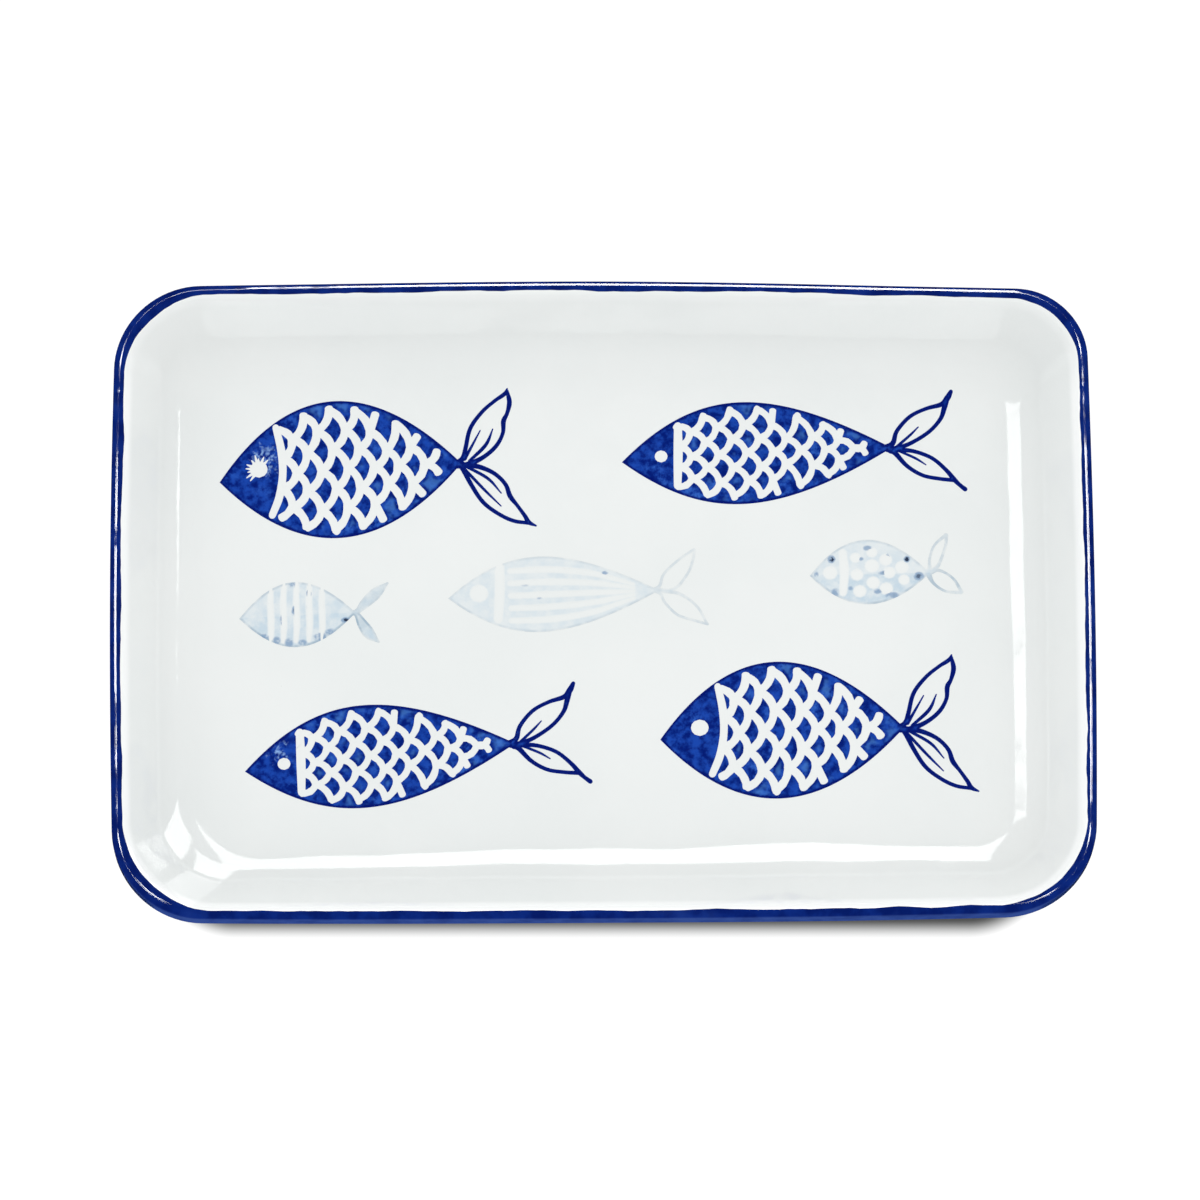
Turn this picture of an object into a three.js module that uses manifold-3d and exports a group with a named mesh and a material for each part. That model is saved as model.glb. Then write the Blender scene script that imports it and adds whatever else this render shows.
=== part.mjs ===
// Rectangular stoneware serving plate with a blue lip line and fish printed on the floor of its well.
//
// A pressed clay body stands on a foot ring. White glaze covers it in three fields: the well, the outside,
// and the underside within the foot. The blue lip line lies between the first two, flush with them, and the
// prints lie on the floor of the well. Sizes are in millimetres, +X runs along the plate, +Y towards its back
// edge and +Z up. The origin is on the table, under the middle of the plate.

import * as THREE from "three";
import { mergeVertices } from "three/addons/utils/BufferGeometryUtils.js";
import Module from "manifold-3d";

const wasm = await Module();
wasm.setup();

// Plan of the plate, over the glaze
const PLATE_LENGTH = 240;
const PLATE_WIDTH = 158.5;
const LIP_CORNER_RADIUS = 20.5;
const FLOOR_CORNER_RADIUS = 9;
const LONG_EDGE_BOW = 0.9;
const SHORT_EDGE_BOW = 1;

// Section through the wall, over the glaze
const PLATE_HEIGHT = 23.3;
const WALL_THICKNESS = 6.2;
const WALL_SLOPE = THREE.MathUtils.degToRad(52);
const FLOOR_FILLET = 13;
const LIP_INNER_ROUND = 3;
const LIP_OUTER_ROUND = 1.2;
const LIP_UNDER_ROUND = 1.6;
const GLAZE_THICKNESS = 0.4;

// Foot ring, and the clay left bare above the table
const FOOT_HEIGHT = 2.1;
const FOOT_WIDTH = 4.2;
const FOOT_INSET = 18;
const FOOT_CHAMFER = 0.4;
const BARE_FOOT = 0.9;

// Blue lip line: how far in from the outer face it covers the lip, and how far down the face
const LINE_REACH = 2;
const LINE_DROP = 5.8;

// Prints: a film over the whole figure, and the full depth of the ink
const PRINT_FILM = 0.12;
const PRINT_DEPTH = 0.3;

// Where the white panel of a tail leaf starts and ends along it, and where its vein ends
const PANEL_START = 0.16;
const PANEL_END = 0.86;
const VEIN_END = 0.62;

// A curve's crown is three quarters of its handles' height, and a pointed end moves further in than the sides
const CROWN_HANDLE = 4 / 3;
const POINT_INSET = 1.5;

// Stamp of the round fish. Its nose is at (0, 0) and its body lies along +x.
const ROUND_FISH = {
  body: { length: 59.5, crown: 18.1, belly: 16.2, noseReach: 18.5, tailReach: 21, outline: 1.1 },
  eye: { x: 9.5, y: 2.4, radius: 2.1 },
  gill: { x: 12.6, width: 1.8, bow: 1.6 },
  scales: { width: 3.9, height: 5, pitchX: 3.55, pitchY: 7.9 },
  tail: { stroke: 0.75, vein: 0.4 },
  upperLeaf: { tipX: 12.6, tipY: 18.1, front: 2.4, back: 4.3 },
  lowerLeaf: { tipX: 16.4, tipY: -17.3, front: 3.7, back: 3.5 },
};

// Stamp of the slim fish
const SLIM_FISH = {
  body: { length: 66.5, crown: 13.1, belly: 11.6, noseReach: 17.5, tailReach: 31, outline: 1 },
  eye: { x: 9.5, y: 1, radius: 1.5 },
  gill: { x: 12.6, width: 1.9, bow: 0.4 },
  scales: { width: 3.7, height: 4.7, pitchX: 3.7, pitchY: 7.1 },
  tail: { stroke: 0.7, vein: 0.4 },
  upperLeaf: { tipX: 16.1, tipY: 13.8, front: 2.8, back: 3 },
  lowerLeaf: { tipX: 17.5, tipY: -11.3, front: 2.1, back: 3 },
};

// Stamp of the small pale fish with upright bands
const BANDED_FISH = {
  body: { length: 28.5, crown: 8.4, belly: 7.8, noseReach: 9.5, tailReach: 10.5, outline: 0.7 },
  bands: { from: 7.2, width: 1.9, pitch: 3.9, count: 4 },
  tail: { stroke: 0.6, vein: 0.3 },
  upperLeaf: { tipX: 7.4, tipY: 6.1, front: 1.5, back: 1.4 },
  lowerLeaf: { tipX: 4.6, tipY: -7.4, front: 1.4, back: 1.5 },
};

// Stamp of the long pale fish with lengthwise stripes
const STRIPED_FISH = {
  body: { length: 51.8, crown: 9.5, belly: 9.3, noseReach: 15, tailReach: 24, outline: 0.8 },
  eye: { x: 7.4, y: 0.9, radius: 1.7 },
  gill: { x: 11.8, width: 1.8, bow: 0.3 },
  stripes: { width: 1.5, pitch: 3.1, count: 5 },
  tail: { stroke: 0.7, vein: 0.35 },
  upperLeaf: { tipX: 10, tipY: 9.6, front: 1.9, back: 2 },
  lowerLeaf: { tipX: 11.9, tipY: -9.3, front: 1.9, back: 1.9 },
};

// Stamp of the small pale fish with round spots
const SPOTTED_FISH = {
  body: { length: 29.4, crown: 8.7, belly: 7.5, noseReach: 9, tailReach: 10.5, outline: 0.8 },
  gill: { x: 7, width: 1.1, bow: 0.5 },
  spots: { radius: 1.35, pitchX: 3.7, pitchY: 3.9 },
  tail: { stroke: 0.6, vein: 0.3 },
  upperLeaf: { tipX: 5.2, tipY: 10.4, front: 1.4, back: 1.7 },
  lowerLeaf: { tipX: 8.4, tipY: -5.2, front: 1.5, back: 1.4 },
};

// Where each print lies: its margins to the edges of the floor, or the offset of its middle from the middle
// of the floor
const BACK_LEFT = { left: 5.1, back: 0.6 };
const BACK_RIGHT = { right: 8.4, back: 1 };
const FRONT_LEFT = { left: 11.9, front: 8.7 };
const FRONT_RIGHT = { right: 7.4, front: 10.4 };
const MIDDLE_LEFT = { left: 10, middleY: -0.6 };
const MIDDLE = { middleX: -5.3, middleY: 5.9 };
const MIDDLE_RIGHT = { right: 10.2, middleY: 10.4 };

// The prints, each with its tilt in degrees
const PRINTS = [
  { name: "round_fish_back_left", stamp: ROUND_FISH, tilt: 5.3, place: BACK_LEFT, ink: "deep" },
  { name: "slim_fish_back_right", stamp: SLIM_FISH, tilt: 3, place: BACK_RIGHT, ink: "deep" },
  { name: "slim_fish_front_left", stamp: SLIM_FISH, tilt: 5.8, place: FRONT_LEFT, ink: "deep" },
  { name: "round_fish_front_right", stamp: ROUND_FISH, tilt: 2.7, place: FRONT_RIGHT, ink: "deep" },
  { name: "banded_fish_left", stamp: BANDED_FISH, tilt: 3, place: MIDDLE_LEFT, ink: "pale" },
  { name: "striped_fish_middle", stamp: STRIPED_FISH, tilt: 2.5, place: MIDDLE, ink: "pale" },
  { name: "spotted_fish_right", stamp: SPOTTED_FISH, tilt: 1.5, place: MIDDLE_RIGHT, ink: "pale" },
];

// Facets of the rings and of the arcs in the section
const CORNER_STEPS = 6;
const LONG_SIDE_STEPS = 4;
const SHORT_SIDE_STEPS = 2;
const FILLET_STEPS = 5;
const ROUND_STEPS = 3;
const OUTLINE_STEPS = 14;
const DETAIL_STEPS = 4;

// Sizes that follow from the ones above
const HALF_LENGTH = PLATE_LENGTH / 2 - SHORT_EDGE_BOW;
const HALF_WIDTH = PLATE_WIDTH / 2 - LONG_EDGE_BOW;
const FLOOR_Z = FOOT_HEIGHT + WALL_THICKNESS;
const FILLET_Z = FLOOR_Z + FLOOR_FILLET;
const LIP_EDGE = polar(LIP_OUTER_ROUND, PLATE_HEIGHT - LIP_INNER_ROUND, LIP_INNER_ROUND, WALL_SLOPE);
const WALL_DROP = LIP_EDGE.y - FILLET_Z + FLOOR_FILLET * Math.cos(WALL_SLOPE);
const WALL_RUN = LIP_EDGE.x + WALL_DROP / Math.tan(WALL_SLOPE) + FLOOR_FILLET * Math.sin(WALL_SLOPE);
const CORNER_TIGHTENING = (LIP_CORNER_RADIUS - FLOOR_CORNER_RADIUS) / WALL_RUN;
const FLOOR_HALF_LENGTH = HALF_LENGTH - WALL_RUN;
const FLOOR_HALF_WIDTH = HALF_WIDTH - WALL_RUN;
const FOOT_INNER = FOOT_INSET + FOOT_WIDTH;
const RING_POINTS = 4 * CORNER_STEPS + 2 * LONG_SIDE_STEPS + 2 * SHORT_SIDE_STEPS;

const WHITE_GLAZE = { color: 0xeef1ef, roughness: 0.12, metalness: 0 };
const COBALT_LINE = { color: 0x0d2a92, roughness: 0.15, metalness: 0 };
const INKS = {
  deep: { color: 0x123aa8, roughness: 0.18, metalness: 0 },
  pale: { color: 0xc3d2e0, roughness: 0.18, metalness: 0 },
};
const BARE_CLAY = { color: 0xd9d0c0, roughness: 0.75, metalness: 0 };

// Section of the plate. A section point is (distance in from the outer face, height), and an angle is
// measured from straight up, positive towards the middle of the plate.
function polar(inset, height, radius, angle) {
  return new THREE.Vector2(inset + radius * Math.sin(angle), height + radius * Math.cos(angle));
}

function sectionArc(inset, height, radius, from, to, steps) {
  const points = [];
  for (let step = 0; step <= steps; step += 1) {
    points.push(polar(inset, height, radius, THREE.MathUtils.lerp(from, to, step / steps)));
  }
  return points;
}

// The well, from the edge of the floor up to the lip line
function wellSection() {
  const lineEdge = Math.asin((LINE_REACH - LIP_OUTER_ROUND) / LIP_INNER_ROUND);
  const lipZ = PLATE_HEIGHT - LIP_INNER_ROUND;
  return [
    ...sectionArc(WALL_RUN, FILLET_Z, FLOOR_FILLET, Math.PI, Math.PI + WALL_SLOPE, FILLET_STEPS),
    ...sectionArc(LIP_OUTER_ROUND, lipZ, LIP_INNER_ROUND, WALL_SLOPE, lineEdge, ROUND_STEPS),
  ];
}

// The lip line, over the top of the lip and down the outer face
function lineSection() {
  return [
    new THREE.Vector2(LIP_OUTER_ROUND, PLATE_HEIGHT),
    ...sectionArc(
      LIP_OUTER_ROUND, PLATE_HEIGHT - LIP_OUTER_ROUND, LIP_OUTER_ROUND, 0, -Math.PI / 2, ROUND_STEPS,
    ).slice(1),
    new THREE.Vector2(0, PLATE_HEIGHT - LINE_DROP),
  ];
}

// The outside, under the lip and round the belly to the bare clay of the foot. The outer wall runs at the
// wall's thickness from the inner one, and the belly shares its centre with the floor's fillet.
function outsideSection() {
  const wallX = LIP_EDGE.x - WALL_THICKNESS * Math.sin(WALL_SLOPE);
  const wallZ = LIP_EDGE.y - WALL_THICKNESS * Math.cos(WALL_SLOPE);
  const underX = LIP_UNDER_ROUND;
  const underZ = wallZ + (LIP_UNDER_ROUND - Math.sin(WALL_SLOPE) * (underX - wallX)) / Math.cos(WALL_SLOPE);
  const bellyRadius = FLOOR_FILLET + WALL_THICKNESS;
  const footAngle = Math.asin(Math.max(WALL_RUN - FOOT_INSET, 0) / bellyRadius) - Math.PI;
  const belly = sectionArc(WALL_RUN, FILLET_Z, bellyRadius, WALL_SLOPE - Math.PI, footAngle, FILLET_STEPS);
  const footTop = belly.at(-1).y;
  return [
    ...sectionArc(underX, underZ, LIP_UNDER_ROUND, -Math.PI / 2, WALL_SLOPE - Math.PI, ROUND_STEPS),
    ...belly.slice(0, -1),
    new THREE.Vector2(FOOT_INSET, footTop),
    new THREE.Vector2(FOOT_INSET, BARE_FOOT),
  ];
}

// The underside, from the bare clay inside the foot
function undersideSection() {
  return [
    new THREE.Vector2(FOOT_INNER, BARE_FOOT),
    new THREE.Vector2(FOOT_INNER, FOOT_HEIGHT),
  ];
}

// The bare clay of the foot
function footSection() {
  const outer = FOOT_INSET + GLAZE_THICKNESS;
  const inner = FOOT_INNER - GLAZE_THICKNESS;
  return [
    new THREE.Vector2(outer, FOOT_CHAMFER),
    new THREE.Vector2(outer + FOOT_CHAMFER, 0),
    new THREE.Vector2(inner - FOOT_CHAMFER, 0),
    new THREE.Vector2(inner, FOOT_CHAMFER),
  ];
}

// The same section at a depth under the surface, with mitred corners. The surface faces the right of the
// section's direction.
function below(section, depth, firstNormal, lastNormal) {
  const normals = [];
  for (let k = 1; k < section.length; k += 1) {
    const along = section[k].clone().sub(section[k - 1]).normalize();
    normals.push(new THREE.Vector2(along.y, -along.x));
  }
  return section.map((point, k) => {
    const before = normals[k - 1] ?? firstNormal ?? normals[k];
    const after = normals[k] ?? lastNormal ?? before;
    const mitre = before.clone().add(after).divideScalar(1 + before.dot(after));
    return point.clone().addScaledVector(mitre, -depth);
  });
}

// Plan of the plate at a section point: a rounded rectangle with bowed sides, counterclockwise from above
function ring(point) {
  const halfX = HALF_LENGTH - point.x;
  const halfY = HALF_WIDTH - point.x;
  const radius = LIP_CORNER_RADIUS - CORNER_TIGHTENING * point.x;
  const corners = [[1, 1], [-1, 1], [-1, -1], [1, -1]];
  const points = [];
  corners.forEach(([signX, signY], quarter) => {
    const centre = new THREE.Vector2(signX * (halfX - radius), signY * (halfY - radius));
    for (let step = 0; step <= CORNER_STEPS; step += 1) {
      const angle = ((quarter + step / CORNER_STEPS) * Math.PI) / 2;
      const spoke = new THREE.Vector2(Math.cos(angle), Math.sin(angle));
      points.push(centre.clone().addScaledVector(spoke, radius));
    }
    const sideSteps = quarter % 2 === 0 ? LONG_SIDE_STEPS : SHORT_SIDE_STEPS;
    const from = points.at(-1);
    const to = quarter % 2 === 0
      ? new THREE.Vector2(-from.x, from.y)
      : new THREE.Vector2(from.x, -from.y);
    for (let step = 1; step < sideSteps; step += 1) {
      points.push(from.clone().lerp(to, step / sideSteps));
    }
  });
  return points.map((plan) => bowed(plan, point.y));
}

function bowed(plan, height) {
  const bowX = SHORT_EDGE_BOW * (1 - (plan.y / HALF_WIDTH) ** 2);
  const bowY = LONG_EDGE_BOW * (1 - (plan.x / HALF_LENGTH) ** 2);
  const x = plan.x * (1 + bowX / HALF_LENGTH);
  const y = plan.y * (1 + bowY / HALF_WIDTH);
  return new THREE.Vector3(x, y, height);
}

// A closed surface skinned over rings. Two pieces that share rings share the same facets, so they meet face
// to face.
class RingSkin {
  constructor() {
    this.points = [];
    this.faces = [];
    this.rings = new Map();
  }

  indexOf(section) {
    if (!this.rings.has(section)) {
      this.rings.set(section, this.points.length);
      this.points.push(...ring(section));
    }
    return this.rings.get(section);
  }

  // Facets from one ring to the next, facing the right of the section's direction, or the left
  band(fromSection, toSection, right) {
    const from = this.indexOf(fromSection);
    const to = this.indexOf(toSection);
    for (let k = 0; k < RING_POINTS; k += 1) {
      const next = (k + 1) % RING_POINTS;
      this.face([from + k, to + k, to + next], right);
      this.face([from + k, to + next, from + next], right);
    }
    return this;
  }

  bands(section, right) {
    for (let k = 1; k < section.length; k += 1) {
      this.band(section[k - 1], section[k], right);
    }
    return this;
  }

  cap(section, up) {
    const from = this.indexOf(section);
    const middle = this.points.length;
    this.points.push(new THREE.Vector3(0, 0, section.y));
    for (let k = 0; k < RING_POINTS; k += 1) {
      this.face([middle, from + k, from + ((k + 1) % RING_POINTS)], up);
    }
    return this;
  }

  face(corners, forward) {
    this.faces.push(...(forward ? corners : corners.reverse()));
  }

  geometry() {
    const geometry = new THREE.BufferGeometry().setFromPoints(this.points);
    geometry.setIndex(this.faces);
    geometry.computeVertexNormals();
    return geometry;
  }
}

// The glazed surface and the bed of clay under it, in their fields
const UP = new THREE.Vector2(0, 1);
const DOWN = new THREE.Vector2(0, -1);
const wellFace = wellSection();
const lineFace = [wellFace.at(-1), ...lineSection()];
const outsideFace = [lineFace.at(-1), ...outsideSection()];
const undersideFace = undersideSection();
const upperFace = [...wellFace, ...lineFace.slice(1), ...outsideFace.slice(1)];
const upperBed = below(upperFace, GLAZE_THICKNESS, UP, null);
const wellBed = upperBed.slice(0, wellFace.length);
const lineBed = upperBed.slice(wellFace.length - 1, wellFace.length - 1 + lineFace.length);
const outsideBed = upperBed.slice(-outsideFace.length);
const undersideBed = below(undersideFace, GLAZE_THICKNESS, null, DOWN);

function clayBody() {
  return new RingSkin()
    .cap(upperBed[0], true)
    .bands([...upperBed, ...footSection(), ...undersideBed], true)
    .cap(undersideBed.at(-1), false)
    .geometry();
}

function wellGlaze() {
  return new RingSkin()
    .cap(wellFace[0], true)
    .bands(wellFace, true)
    .band(wellBed.at(-1), wellFace.at(-1), false)
    .bands(wellBed, false)
    .cap(wellBed[0], false)
    .geometry();
}

// A field of glaze that runs right round the plate and ends at two edges
function glazeRing(face, bed) {
  return new RingSkin()
    .band(bed[0], face[0], true)
    .bands(face, true)
    .band(bed.at(-1), face.at(-1), false)
    .bands(bed, false)
    .geometry();
}

function undersideGlaze() {
  return new RingSkin()
    .band(undersideBed[0], undersideFace[0], true)
    .bands(undersideFace, true)
    .cap(undersideFace.at(-1), false)
    .bands(undersideBed, false)
    .cap(undersideBed.at(-1), true)
    .geometry();
}

// Solids for joining and cutting
function solidOf(geometry) {
  geometry.deleteAttribute("normal");
  geometry.deleteAttribute("uv");
  const merged = mergeVertices(geometry);
  return new wasm.Manifold(new wasm.Mesh({
    numProp: 3,
    vertProperties: new Float32Array(merged.attributes.position.array),
    triVerts: new Uint32Array(merged.index.array),
  }));
}

function geometryOf(solid) {
  const mesh = solid.getMesh();
  const geometry = new THREE.BufferGeometry();
  geometry.setAttribute("position", new THREE.BufferAttribute(mesh.vertProperties, 3));
  geometry.setIndex(new THREE.BufferAttribute(mesh.triVerts, 1));
  geometry.computeVertexNormals();
  return geometry;
}

function prism(shape, from, to, steps) {
  const settings = { depth: to - from, bevelEnabled: false, curveSegments: steps };
  return solidOf(new THREE.ExtrudeGeometry(shape, settings).translate(0, 0, from));
}

// What is cut into a print starts on its film and runs out through its face
function groove(shape, steps) {
  return prism(shape, PRINT_FILM, 2 * PRINT_DEPTH, steps);
}

function joined(solids) {
  return solids.reduce((sum, solid) => sum.add(solid));
}

// The body's outline, or a line inside it
function bodyShape({ length, crown, belly, noseReach, tailReach }, inset) {
  const pointInset = POINT_INSET * inset;
  const shape = new THREE.Shape();
  const top = CROWN_HANDLE * (crown - inset);
  const bottom = -CROWN_HANDLE * (belly - inset);
  shape.moveTo(pointInset, 0);
  shape.bezierCurveTo(noseReach, bottom, length - tailReach, bottom, length - pointInset, 0);
  shape.bezierCurveTo(length - tailReach, top, noseReach, top, pointInset, 0);
  return shape;
}

// A pointed leaf from one point to another, bulging to its left and its right
function leafShape(root, tip, left, right) {
  const middle = root.clone().lerp(tip, 0.5);
  const along = tip.clone().sub(root).normalize();
  const side = new THREE.Vector2(-along.y, along.x);
  const leftHandle = middle.clone().addScaledVector(side, 2 * left);
  const rightHandle = middle.clone().addScaledVector(side, -2 * right);
  const shape = new THREE.Shape();
  shape.moveTo(root.x, root.y);
  shape.quadraticCurveTo(rightHandle.x, rightHandle.y, tip.x, tip.y);
  shape.quadraticCurveTo(leftHandle.x, leftHandle.y, root.x, root.y);
  return shape;
}

// A tail leaf: a drawn outline with a vein up its middle
function tailLeaf({ length }, { stroke, vein }, { tipX, tipY, front, back }) {
  const root = new THREE.Vector2(length - stroke, 0);
  const end = new THREE.Vector2(length + tipX, tipY);
  const left = tipY > 0 ? front : back;
  const right = tipY > 0 ? back : front;
  const panelRoot = root.clone().lerp(end, PANEL_START);
  const panelTip = root.clone().lerp(end, PANEL_END);
  const veinTip = root.clone().lerp(end, VEIN_END);
  const leaf = prism(leafShape(root, end, left, right), 0, PRINT_DEPTH, DETAIL_STEPS);
  const panel = groove(leafShape(panelRoot, panelTip, left - stroke, right - stroke), DETAIL_STEPS);
  const rib = groove(leafShape(root, veinTip, vein, vein), DETAIL_STEPS);
  return leaf.subtract(panel.subtract(rib));
}

function disc(x, y, radius) {
  const shape = new THREE.Shape();
  shape.absarc(x, y, radius, 0, 2 * Math.PI);
  return groove(shape, DETAIL_STEPS);
}

function bar(left, right, bottom, top) {
  const corners = [[left, bottom], [right, bottom], [right, top], [left, top]];
  return groove(new THREE.Shape(corners.map(([x, y]) => new THREE.Vector2(x, y))), 1);
}

// Everything behind the gill line, or behind a line that follows it further back
function behindGill({ length, crown, belly }, gill, offset) {
  const x = gill.x + offset;
  const shape = new THREE.Shape();
  shape.moveTo(x, -belly);
  shape.lineTo(length, -belly);
  shape.lineTo(length, crown);
  shape.lineTo(x, crown);
  shape.quadraticCurveTo(x + 2 * gill.bow, (crown - belly) / 2, x, -belly);
  return groove(shape, DETAIL_STEPS);
}

// One scale: pointed towards the head, round towards the tail
function scale(x, y, { width, height }) {
  const shape = new THREE.Shape();
  shape.moveTo(x - width / 2, y);
  shape.lineTo(x, y - height / 2);
  shape.quadraticCurveTo(x + width, y, x, y + height / 2);
  return groove(shape, DETAIL_STEPS);
}

// Places in a staggered pattern that covers the body behind its gill line
function staggered({ length, crown, belly }, gill, { pitchX, pitchY }) {
  const places = [];
  const start = gill.x + gill.width;
  const columns = Math.floor((length - start) / pitchX);
  const rows = Math.ceil(Math.max(crown, belly) / pitchY);
  for (let column = 0; column <= columns; column += 1) {
    const shift = column % 2 === 0 ? 0 : 0.5;
    for (let row = -rows; row <= rows; row += 1) {
      places.push([start + column * pitchX, (row + shift) * pitchY]);
    }
  }
  return places;
}

// The white net between the scales, with the gill line at its head
function scaleNet({ body, gill, scales }, inside) {
  const cells = staggered(body, gill, scales).map(([x, y]) => scale(x, y, scales));
  const backed = joined(cells).intersect(behindGill(body, gill, gill.width));
  return inside.intersect(behindGill(body, gill, 0)).subtract(backed);
}

function gillLine({ body, gill }, inside) {
  const line = behindGill(body, gill, 0).subtract(behindGill(body, gill, gill.width));
  return inside.intersect(line);
}

function uprightBands({ body, bands }, inside) {
  const bars = [];
  for (let k = 0; k < bands.count; k += 1) {
    const left = bands.from + k * bands.pitch;
    bars.push(bar(left, left + bands.width, -body.belly, body.crown));
  }
  return inside.intersect(joined(bars));
}

function lengthwiseStripes({ body, gill, stripes }, inside) {
  const bars = [];
  for (let k = 0; k < stripes.count; k += 1) {
    const middle = (k - (stripes.count - 1) / 2) * stripes.pitch;
    bars.push(bar(0, body.length, middle - stripes.width / 2, middle + stripes.width / 2));
  }
  const behind = behindGill(body, gill, 2 * gill.width);
  return inside.intersect(joined(bars)).intersect(behind);
}

function roundSpots({ body, gill, spots }, inside) {
  const discs = staggered(body, gill, spots).map(([x, y]) => disc(x, y, spots.radius));
  const behind = behindGill(body, gill, 2 * gill.width);
  return inside.intersect(joined(discs)).intersect(behind);
}

// A print: the inked figure with its white markings cut down to the film
function fishPrint(stamp) {
  const { body, eye, gill, tail, upperLeaf, lowerLeaf } = stamp;
  const inside = groove(bodyShape(body, body.outline), OUTLINE_STEPS);
  const markings = [];
  if (eye) {
    markings.push(disc(eye.x, eye.y, eye.radius));
  }
  if (gill && !stamp.scales) {
    markings.push(gillLine(stamp, inside));
  }
  if (stamp.scales) {
    markings.push(scaleNet(stamp, inside));
  }
  if (stamp.bands) {
    markings.push(uprightBands(stamp, inside));
  }
  if (stamp.stripes) {
    markings.push(lengthwiseStripes(stamp, inside));
  }
  if (stamp.spots) {
    markings.push(roundSpots(stamp, inside));
  }
  const figure = prism(bodyShape(body, 0), 0, PRINT_DEPTH, OUTLINE_STEPS);
  const tailLeaves = [upperLeaf, lowerLeaf].map((leaf) => tailLeaf(body, tail, leaf));
  return geometryOf(joined([figure.subtract(joined(markings)), ...tailLeaves]));
}

// The plate
function piece(name, geometry, finish) {
  const mesh = new THREE.Mesh(geometry, new THREE.MeshStandardMaterial(finish));
  mesh.name = name;
  return mesh;
}

// A print is turned first, and its box is then set at its margins on the floor
function placedPrint({ name, stamp, ink, tilt, place }) {
  const { left, right, back, front, middleX, middleY } = place;
  const print = piece(name, fishPrint(stamp), INKS[ink]);
  print.rotation.z = THREE.MathUtils.degToRad(tilt);
  const box = new THREE.Box3().setFromObject(print, true);
  const centre = box.getCenter(new THREE.Vector3());
  print.position.x = middleX - centre.x;
  print.position.y = middleY - centre.y;
  if (left !== undefined) {
    print.position.x = left - FLOOR_HALF_LENGTH - box.min.x;
  }
  if (right !== undefined) {
    print.position.x = FLOOR_HALF_LENGTH - right - box.max.x;
  }
  if (back !== undefined) {
    print.position.y = FLOOR_HALF_WIDTH - back - box.max.y;
  }
  if (front !== undefined) {
    print.position.y = front - FLOOR_HALF_WIDTH - box.min.y;
  }
  return print;
}

const prints = new THREE.Group();
prints.position.z = FLOOR_Z;
prints.add(...PRINTS.map(placedPrint));

const plate = new THREE.Group();
plate.add(
  piece("clay_body", clayBody(), BARE_CLAY),
  piece("well_glaze", wellGlaze(), WHITE_GLAZE),
  piece("outer_glaze", glazeRing(outsideFace, outsideBed), WHITE_GLAZE),
  piece("underside_glaze", undersideGlaze(), WHITE_GLAZE),
  piece("rim_band", glazeRing(lineFace, lineBed), COBALT_LINE),
  prints,
);

export default plate;
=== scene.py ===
"""Rectangular stoneware serving plate with a blue lip line and stamped fish.

Every piece is modelled in millimetres, then brought to metres in its place.
"""

import math
import random
from collections import namedtuple

import bmesh
import bpy
from mathutils import Matrix, Vector, kdtree, noise


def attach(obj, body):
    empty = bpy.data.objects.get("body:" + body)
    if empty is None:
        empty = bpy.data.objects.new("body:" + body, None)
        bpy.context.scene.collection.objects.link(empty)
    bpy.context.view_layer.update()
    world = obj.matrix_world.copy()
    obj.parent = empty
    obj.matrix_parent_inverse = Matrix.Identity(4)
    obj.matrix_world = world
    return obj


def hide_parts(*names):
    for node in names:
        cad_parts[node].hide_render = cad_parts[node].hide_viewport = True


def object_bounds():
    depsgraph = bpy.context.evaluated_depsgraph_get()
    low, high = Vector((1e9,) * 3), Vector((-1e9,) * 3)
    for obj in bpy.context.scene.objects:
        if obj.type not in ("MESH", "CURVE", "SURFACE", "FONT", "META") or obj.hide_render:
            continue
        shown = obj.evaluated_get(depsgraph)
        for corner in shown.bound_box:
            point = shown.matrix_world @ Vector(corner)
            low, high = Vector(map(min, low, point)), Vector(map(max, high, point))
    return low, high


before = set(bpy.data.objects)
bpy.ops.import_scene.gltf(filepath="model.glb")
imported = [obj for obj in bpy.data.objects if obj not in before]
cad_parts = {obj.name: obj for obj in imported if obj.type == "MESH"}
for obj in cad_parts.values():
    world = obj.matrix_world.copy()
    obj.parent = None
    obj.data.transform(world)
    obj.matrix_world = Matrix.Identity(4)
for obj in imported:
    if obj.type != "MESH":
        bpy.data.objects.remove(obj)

CAD_LOW, CAD_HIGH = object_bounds()
MM = 0.001

# Plan of the plate, over the glaze, in millimetres
PLATE_LENGTH = (CAD_HIGH.x - CAD_LOW.x) / MM
PLATE_WIDTH = (CAD_HIGH.y - CAD_LOW.y) / MM
PLATE_HEIGHT = (CAD_HIGH.z - CAD_LOW.z) / MM
LIP_CORNER_RADIUS = 20.5
LONG_EDGE_BOW = 0.9
SHORT_EDGE_BOW = 1
HALF_LENGTH = PLATE_LENGTH / 2 - SHORT_EDGE_BOW
HALF_WIDTH = PLATE_WIDTH / 2 - LONG_EDGE_BOW

# Section through the wall
WALL_THICKNESS = 6.2
WALL_SLOPE = math.radians(52)
FLOOR_FILLET = 13
LIP_INNER_ROUND = 3
LIP_OUTER_ROUND = 1.2
LIP_UNDER_ROUND = 1.6
GLAZE_THICKNESS = 0.4
FOOT_HEIGHT = 2.1
FOOT_WIDTH = 4.2
FOOT_INSET = 18
FOOT_CHAMFER = 0.4
BARE_FOOT = 0.9
LINE_REACH = 2
LINE_TUCK = math.radians(20)
FLOOR_Z = FOOT_HEIGHT + WALL_THICKNESS
FILLET_Z = FLOOR_Z + FLOOR_FILLET

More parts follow.
